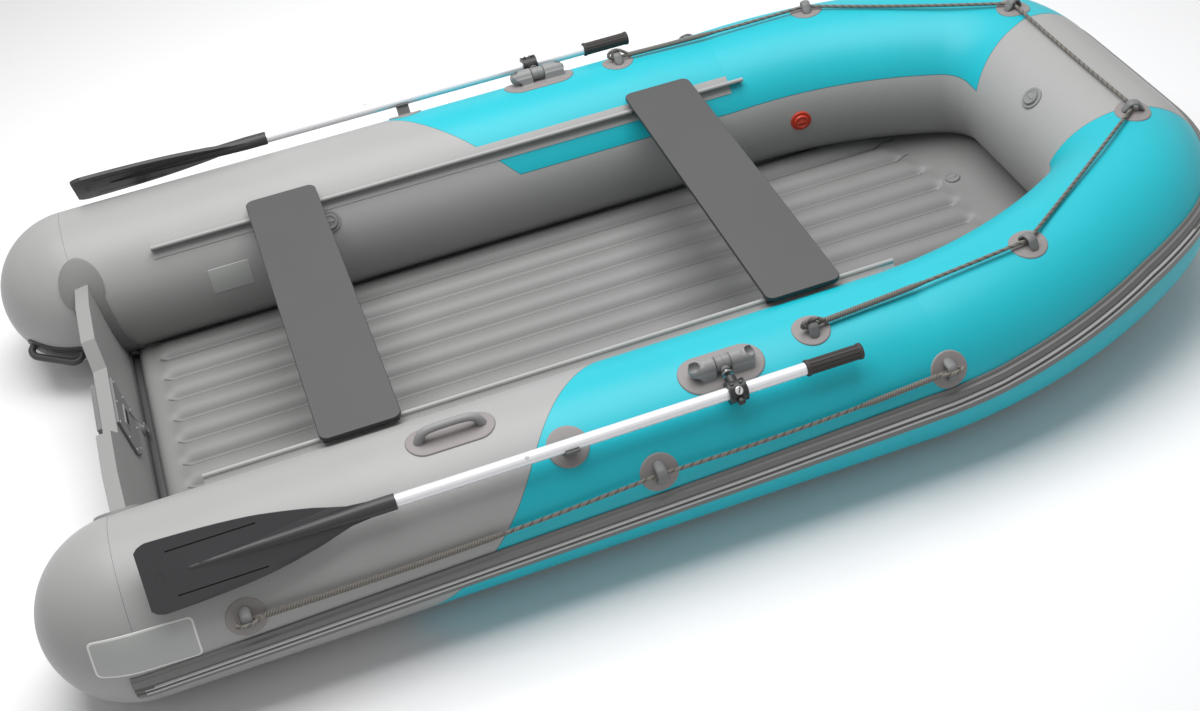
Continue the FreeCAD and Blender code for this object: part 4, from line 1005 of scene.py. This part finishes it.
# Oars
# A drawn alloy tube with a ribbed rubber grip. A two-part collar is bolted round it at the oarlock,
# and the moulded blade, ribbed and slotted, is pressed on the other end.
alloy = finish_of("oar_alloy", (228, 228, 231), 0.34, 0.03, 260, 0.0001, (0.05, 1, 1),
                  specular=0.5, metallic=0.45)
grip_rubber = finish_of("grip_rubber", (54, 50, 48), 0.6, 0.06, 900, 0.0004)
blade_plastic = finish_of("blade_plastic", (55, 55, 57), 0.38, 0.06, 420)
collar_rims = repeated(
    turned("rim_ring", [(0.0225, -0.0025), (0.0252, -0.0022), (0.0257, 0), (0.0252, 0.0022),
                        (0.0225, 0.0025)], face_forward),
    "collar_rims_port",
    [Matrix.Translation(collar_centre + Vector((shift, 0, 0))) for shift in (-0.0185, 0.0185)])
bolt_way = Matrix.Rotation(radians(98), 3, "X") @ pin_way
bolts = repeated(
    turned("bolt", [(0, -0.002), (0.0042, -0.002), (0.0042, 0.0022), (0.0034, 0.0030),
                    (0, 0.0030)], sides=6),
    "collar_bolts_port",
    [facing(collar_centre + bolt_way * 0.0240 + Vector((shift, 0, 0)), bolt_way)
     for shift in (-0.010, 0.010)])
clamp_way = Matrix.Rotation(radians(55), 3, "X") @ pin_way
clamp_place = facing(collar_centre + clamp_way * 0.0235, clamp_way)
clamp_bolt = turned("clamp_bolt", [(0, -0.003), (0.0092, -0.003), (0.0092, 0.0022),
                                   (0.0080, 0.0034), (0, 0.0038)], clamp_place, 32)
# The dark pad on the clamp bolt's head is painted shade in its slot.
clamp_slot = pad("clamp_slot", 0.0145, 0.0024, 0.0004, 0.0008,
                 clamp_place @ at(0, 0, 0.0037) @ Matrix.Rotation(0.5, 4, "Z"), 0.0001)
collar_trim = joined("collar_trim_port", painted(collar_rims, knob_nylon),
                     painted(bolts, knob_nylon), painted(clamp_bolt, steel),
                     painted(clamp_slot, slit_black))
shaft_button = turned("shaft_button_port", [
    (0, 0.0140), (0.0046, 0.0140), (0.0046, 0.0158), (0.0036, 0.0172), (0, 0.0176)],
    at(-0.452, collar_centre.y, collar_centre.z) @ tilt(-35, "X"), 20)

blade_place = at(0, collar_centre.y, collar_centre.z) @ tilt(-52, "X")
blade_half_thickness = 0.0045
blade_marks = [(-1.279, 0.0623), (-1.271, 0.0699), (-1.2492, 0.0760), (-1.0504, 0.0654),
               (-0.9212, 0.0426), (-0.8416, 0.0213), (-0.784, 0.0160)]
blade_tip = blade_marks[0][0]
blade_neck = -0.84
rim_slack = 0.0005
face_slack = 0.0003


def blade_half(x, curved):
    """Half the blade's width at a length: the straight run between two marks, or the curve."""
    for spot in range(len(blade_marks) - 1):
        (x0, w0), (x1, w1) = blade_marks[spot], blade_marks[spot + 1]
        if x <= x1:
            break
    share = (x - x0) / (x1 - x0)
    if not curved:
        return w0 + (w1 - w0) * share
    before = blade_marks[max(spot - 1, 0)]
    after = blade_marks[min(spot + 2, len(blade_marks) - 1)]
    rise0 = (w1 - before[1]) / (x1 - before[0]) * (x1 - x0)
    rise1 = (after[1] - w0) / (after[0] - x0) * (x1 - x0)
    square, cube = share ** 2, share ** 3
    return ((2 * cube - 3 * square + 1) * w0 + (cube - 2 * square + share) * rise0
            + (3 * square - 2 * cube) * w1 + (cube - square) * rise1)


def on_blade_rim(point):
    """Whether a point in the blade's own frame lies on the straight runs of its outline."""
    return (blade_tip < point.x + rim_slack and point.x < blade_neck
            and abs(abs(point.z) - blade_half_thickness) < face_slack
            and abs(abs(point.y) - blade_half(point.x, False)) < rim_slack)


blade = from_node("oar_blade_port", "blade_port")
blade.data.transform(blade_place.inverted())
bpy.ops.object.mode_set(mode="EDIT")
bpy.ops.mesh.select_all(action="DESELECT")
bpy.ops.object.mode_set(mode="OBJECT")
for edge in blade.data.edges:
    first, last = [blade.data.vertices[index].co for index in edge.vertices]
    edge.select = on_blade_rim(first) and on_blade_rim(last) and abs(first.x - last.x) > 0.01
bpy.ops.object.mode_set(mode="EDIT")
bpy.ops.mesh.select_mode(type="EDGE")
bpy.ops.mesh.subdivide(number_cuts=7, quadcorner="INNERVERT")
bpy.ops.mesh.select_mode(type="VERT")
bpy.ops.object.mode_set(mode="OBJECT")
for vertex in blade.data.vertices:
    if on_blade_rim(vertex.co):
        vertex.co.y = copysign(blade_half(vertex.co.x, True), vertex.co.y)
blade.data.transform(blade_place)
eased(blade, 0.0012, 2, 40, 20)

blade_frame = blade_place @ at(blade_tip)
# The dark webs inside the blade's slots are painted shade in them.
slot_webs = [painted(pad("slot_web", 0.190, 0.0034, 0.0024, 0.0010,
                         blade_frame @ at(0.155, way * 0.04712, -0.0012), 0.0004), slit_black)
             for way in (-1, 1)]
tip_ring = turned("tip_ring", [
    (0.0095, -0.0006), (0.0098, 0.0005), (0.0110, 0.0008), (0.0122, 0.0005), (0.0125, -0.0006)],
    Matrix.Diagonal((0.66, 1.1, 1, 1)), 36)
tip_rings = repeated(tip_ring, "tip_rings", [
    blade_frame @ turn @ at(0.036, 0, blade_half_thickness) for turn in (Matrix(), tilt(180, "X"))])
blade_trim = joined("blade_trim_port", *slot_webs, painted(tip_rings, blade_plastic))
for side in ("port", "starboard"):
    body = side + "_oar"
    nodes["oar_shaft_" + side].data.materials.clear()
    painted(nodes["oar_shaft_" + side], alloy)
    dressed("oar_grip_" + side, "grip_" + side, grip_rubber, "grip_rubber", 0.0004, 1, 50,
            body=body)
    dressed("oar_collar_" + side, "collar_" + side, knob_nylon, "oar_plastic", 0.0014, 2, 45,
            body=body)
    if side == "starboard":
        collar_trim, shaft_button, blade_trim, blade = [
            across(piece, piece.name.replace("port", side))
            for piece in (collar_trim, shaft_button, blade_trim, blade)]
    fitted(collar_trim, None, "oar_plastic", body=body)
    fitted(shaft_button, steel, "oar_alloy", body=body)
    fitted(blade_trim, None, "oar_plastic", body=body)
    fitted(blade, blade_plastic, "oar_plastic", "oar_blade_" + side, body=body)


# Oar cradles
# Under each shaft an open rubber clip on a round patch keeps the oar along the tube.
cradle_rubber = finish_of("cradle_rubber", (96, 96, 96), 0.5, 0.05, 700)
for side in ("port", "starboard"):
    cradle = moulded(from_node("oar_cradle_" + side, "cradle_" + side), 0.0015, 6)
    fitted(cradle, cradle_rubber, "fitting_grey", "oar_cradle_" + side)
fitted(both_sides("cradle_patches", cloth_patch(
    "cradle_patch", 0.096, 0.096, 0.048, 0.0036, -0.353, 34)), patch_cloth, "fitting_grey")


# Rope eyes
# Round cloth patches, six along each edge of the boat, each with a moulded band arched over the
# rope. The outermost band of a line is where its end is spliced on.
eye_stand = 0.014
bow_eye_places = [(0.262, 9), (bend_start + wide_radius * radians(13.3), 9),
                  (corner_start + tight_radius * radians(42), 4)]
side_eye_places = [(-1.106, 72), (-0.176, 66.5), (0.531, 62)]
eye_rubber = finish_of("eye_rubber", (118, 118, 118), 0.45, 0.05, 700)
half_band = [(-0.0270, 0.0010, 0.0026), (-0.0225, 0.0055, 0.0050), (-0.0150, 0.0160, 0.0052),
             (-0.0110, 0.0235, 0.0050)]
band_marks = half_band + [(0, 0.0265, 0.0048)] + [
    (-reach, rise, radius) for reach, rise, radius in reversed(half_band)]
for name, places, node in (("bow_eyes", bow_eye_places, "bow_line_eyes"),
                           ("side_eyes", side_eye_places, "side_line_eyes")):
    band = bent_bar(name, [(reach, 0, rise) for reach, rise, radius in band_marks],
                    [radius for reach, rise, radius in band_marks], 2.5, tilt(90, "Z"))
    bands = repeated(band, name, [tube_seat(length, degrees) for length, degrees in places])
    fitted(both_sides(name, bands), eye_rubber, "fitting_grey", node)
    patches = [cloth_patch("eye_patch", 0.090, 0.090, 0.045, 0.0030, length, degrees)
               for length, degrees in places]
    fitted(both_sides(name + "_patches", *patches), patch_cloth, "fitting_grey")


# Grab lines
# Laid polyester line: three strands twisted together, drawn taut through the moulded eyes. Each end
# is spliced back along itself, so the line is thicker there.
line_radius = 0.0048
splice_radius = 0.0070
rope_spacing = 0.0026
rope_lay = 0.022
splice_lay = 0.019
splice_start = 0.034
splice_taper = 0.045
thin_end = 0.62
strand_press = 1.06
strand_nesting = 1.29
bow_sag = 0.004
side_sag = 0.012


def rope_fibre(name, dark, light):
    """Grey-brown yarn with the fine slanted fibres of each strand."""
    material, shader = new_material(name, light, 0.8, specular=0.5)
    tree = shader.id_data
    spot = wired(tree, "TexCoord", {}).outputs["Object"]
    fibre = wired(tree, "TexNoise", {"Vector": spot, "Scale": 700, "Detail": 3}).outputs["Fac"]
    tree.links.new(blend_of(fibre, dark, light), shader.inputs["Base Color"])
    bump = wired(tree, "Bump", {"Strength": 0.5, "Distance": 0.0006, "Height": fibre})
    tree.links.new(bump.outputs["Normal"], shader.inputs["Normal"])
    return material


rope_fibres = (rope_fibre("rope_light", tone(98, 94, 89), tone(140, 136, 130)),
               rope_fibre("rope_dark", tone(72, 69, 65), tone(108, 104, 99)))


def route_points(route):
    """Evenly spaced points of the smooth line that a rope's route controls."""
    guide_data = new_line("guide", "NURBS", route)
    guide_data.resolution_u = 48
    guide = bpy.data.objects.new("guide", guide_data)
    line = bpy.data.meshes.new_from_object(guide)
    places = [vertex.co.copy() for vertex in line.vertices]
    bpy.data.objects.remove(guide)
    bpy.data.meshes.remove(line)
    lengths = [0.0]
    for before, after in zip(places, places[1:]):
        lengths.append(lengths[-1] + (after - before).length)
    count = max(int(lengths[-1] / rope_spacing), 2)
    even = []
    spot = 0
    for step in range(count + 1):
        wanted = lengths[-1] * step / count
        while spot < len(lengths) - 2 and lengths[spot + 1] < wanted:
            spot += 1
        share = (wanted - lengths[spot]) / max(lengths[spot + 1] - lengths[spot], 1e-9)
        even.append(places[spot].lerp(places[spot + 1], share))
    return even


def laid_rope(name, route, radius, lay=rope_lay, strands=3, stretch=None, taper=0.0):
    """A twisted rope along a route, or a stretch of it, as one mesh; its far end may taper."""
    middle = route_points(route)
    if stretch:
        middle = middle[int(stretch[0] / rope_spacing):int(stretch[1] / rope_spacing)]
    around = Vector((0, 0, 1))
    frames = []
    run = 0.0
    for index, place in enumerate(middle):
        ahead = (middle[min(index + 1, len(middle) - 1)] - middle[max(index - 1, 0)]).normalized()
        around = (around - around.dot(ahead) * ahead).normalized()
        if index:
            run += (place - middle[index - 1]).length
        left = (len(middle) - 1 - index) * rope_spacing
        share = min(thin_end + (1 - thin_end) * left / taper, 1.0) if taper else 1.0
        frames.append((place, around.copy(), ahead.cross(around), run, share))
    # The strands press into each other, so each is a little thicker than the circle it fits.
    grown = radius * strand_press
    offset = grown / (1 + strand_nesting * sin(pi / strands))
    rope_data = bpy.data.curves.new(name, "CURVE")
    rope_data.dimensions = "3D"
    rope_data.bevel_depth = grown - offset
    rope_data.bevel_resolution = 1
    rope_data.use_fill_caps = True
    for strand in range(strands):
        spots = []
        for place, first, second, run, share in frames:
            turn = 2 * pi * (run / lay + strand / strands)
            spots.append(place + share * offset * (cos(turn) * first + sin(turn) * second))
        add_line(rope_data, "POLY", spots, [frame_at[4] for frame_at in frames])
    rope = as_piece(name, rope_data)
    for fibre in rope_fibres:
        painted(rope, fibre)
    strand_faces = len(rope.data.polygons) / strands
    for face in rope.data.polygons:
        face.material_index = int(face.index / strand_faces) % 2
    return rope


def mirrored(points):
    """Points of the port side, set over to starboard."""
    return [Vector((point.x, -point.y, point.z)) for point in points]


def spans(holes, sag):
    """A route from eye to eye, hanging a little between each two."""
    route = holes[:1]
    for first, last in zip(holes, holes[1:]):
        route += [first.lerp(last, share) - Vector((0, 0, sag * 4 * share * (1 - share)))
                  for share in (0.06, 0.3, 0.5, 0.7, 0.94)]
        route.append(last)
    return route


def splice(name, route, length, place):
    """The loop round the band at a line's end, and the thicker stretch where it is tucked back."""
    way = (route[1] - route[0]).normalized()
    normal = tube_normal(place[0], radians(place[1]))
    tucked = laid_rope(name, route, splice_radius, lay=splice_lay, strands=6,
                       stretch=(splice_start, splice_start + length), taper=splice_taper)
    loop = [route[0] + way * ahead + normal * lift for ahead, lift in (
        (0.036, 0.0), (0.016, -0.001), (-0.012, 0.000), (-0.023, 0.003), (-0.024, 0.014),
        (-0.012, 0.0230), (0.008, 0.0225), (0.022, 0.012), (0.038, 0.001))]
    return joined(name, tucked, laid_rope(name + "_loop", loop, line_radius))


bow_holes, side_holes = [
    [tube_point(length, radians(degrees), eye_stand) for length, degrees in places]
    for places in (bow_eye_places, side_eye_places)]
bow_route = spans(bow_holes + mirrored(bow_holes[-1:]), bow_sag)
bow_route += mirrored(reversed(spans(bow_holes, bow_sag)[:-1]))
side_route = spans(side_holes, side_sag)
bow_splice = splice("bow_splice", bow_route, 0.27, bow_eye_places[0])
bow_rope = joined("bow_rope", laid_rope("bow_run", bow_route, line_radius), bow_splice,
                  across(bow_splice, "bow_splice_twin"))
side_rope_port = joined(
    "side_rope_port", laid_rope("side_run", side_route, line_radius),
    splice("aft_splice", side_route, 0.55, side_eye_places[0]),
    splice("fore_splice", side_route[::-1], 0.21, side_eye_places[2]))
for rope, node in ((bow_rope, "bow_line"), (side_rope_port, "side_line_port"),
                   (across(side_rope_port, "side_rope_starboard"), "side_line_starboard")):
    fitted(rope, None, "rope", node)


# Valves
# Screwed air valves: a welded flange and a stepped cap. The floor's valve is the same, and the red
# one lets air out when the pressure is too high.
valve_profile = [
    (0, -0.0040), (0.0300, -0.0040), (0.0300, 0.0022), (0.0288, 0.0036), (0.0238, 0.0042),
    (0.0228, 0.0030), (0.0214, 0.0030), (0.0206, 0.0080), (0.0192, 0.0098), (0.0160, 0.0100),
    (0.0150, 0.0086), (0.0070, 0.0086), (0.0060, 0.0098), (0, 0.0100)]
relief_red = finish_of("relief_red", (196, 62, 42), 0.4, 0.05, 500, 0.0002)


def valve(name, place):
    """One valve with two small finger bars on its cap."""
    bars = pad("finger_bars", 0.026, 0.0040, 0.0026, 0.0015, place @ at(0, 0, 0.0082), 0.0006)
    return joined(name, turned(name, valve_profile, place), bars)


def to_starboard(piece, name):
    """A port piece moved over to starboard."""
    twin = across(piece, name)
    bpy.data.objects.remove(piece)
    return twin


side_valves = both_sides("side_valves", valve("side_valve_port", tube_seat(-0.652, -61)))
bow_valve = to_starboard(valve("bow_valve", tube_seat(half_way_round - 0.046, -42)),
                         "bow_valve_seat")
fitted(joined("tube_valves", side_valves, bow_valve), valve_grey, "valve_plastic", "air_valves")
low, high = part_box("floor_valve")
nose_lean = Matrix.Rotation(-atan2(nose_climb, bow_x - nose_start), 4, "Y")
floor_valve = valve("floor_cap", at((low.x + high.x) / 2, (low.y + high.y) / 2, high.z - 0.0112)
                    @ nose_lean)
fitted(floor_valve, valve_grey, "valve_plastic", "floor_valve")
fitted(valve("relief_cap", tube_seat(0.7557, -90)), relief_red, "valve_red", "relief_valve")


# Handles
# A soft moulded bar on an oval patch to lift the boat by, on the starboard tube, and a dark looped
# handle on each stern cone.
carry_x = -0.582
half_carry = [(-0.074, -0.004, 0.0125), (-0.070, 0.008, 0.0115), (-0.060, 0.026, 0.0100),
              (-0.036, 0.0320, 0.0090)]
carry_marks = half_carry + [(-reach, rise, radius) for reach, rise, radius in reversed(half_carry)]
carry_bar = bent_bar("carry_bar_port", [(reach, 0, rise) for reach, rise, radius in carry_marks],
                     [radius for reach, rise, radius in carry_marks], 1.15, tube_seat(carry_x, 0))
carry_patch = cloth_patch("carry_patch_port", 0.205, 0.088, 0.044, 0.0034, carry_x, 0)
fitted(to_starboard(carry_bar, "carry_bar"), lug_rubber, "fitting_grey", "carry_handle")
fitted(to_starboard(carry_patch, "carry_patch"), patch_cloth, "fitting_grey")
handle_rubber = finish_of("handle_rubber", (62, 62, 63), 0.45, 0.05, 700)
stern_grips = moulded(from_node("stern_handles", "stern_grips"), 0.0022, 4)
fitted(stern_grips, handle_rubber, "handle_dark", "stern_handles")


# Plates
# Two thin plates lie on the cloth: one on the starboard stern, plain grey inside a pale border, and
# a smaller one inside the port tube.
plate_soften = 0.0010
panel_grey = finish_of("panel_grey", (176, 178, 176), 0.34, 0.03, 400, 0.0001)
panel_border = finish_of("panel_border", (226, 226, 224), 0.34, 0.03, 400, 0.0001)
panel_edge = cloth_patch(
    "panel_edge", 0.222, 0.098, 0.012, 0.0010, -1.322, 72.5, -2, plate_soften)
panel_face = cloth_patch(
    "panel_face", 0.214, 0.090, 0.010, 0.0014, -1.322, 72.5, -2, plate_soften)
panel = joined("panel_port", painted(panel_edge, panel_border), painted(panel_face, panel_grey))
fitted(to_starboard(panel, "bare_panel"), None, "hull_grey")
label = cloth_patch("bare_label", 0.112, 0.074, 0.006, 0.0010, -0.944, -81, 0, plate_soften)
fitted(label, panel_grey, "hull_grey")
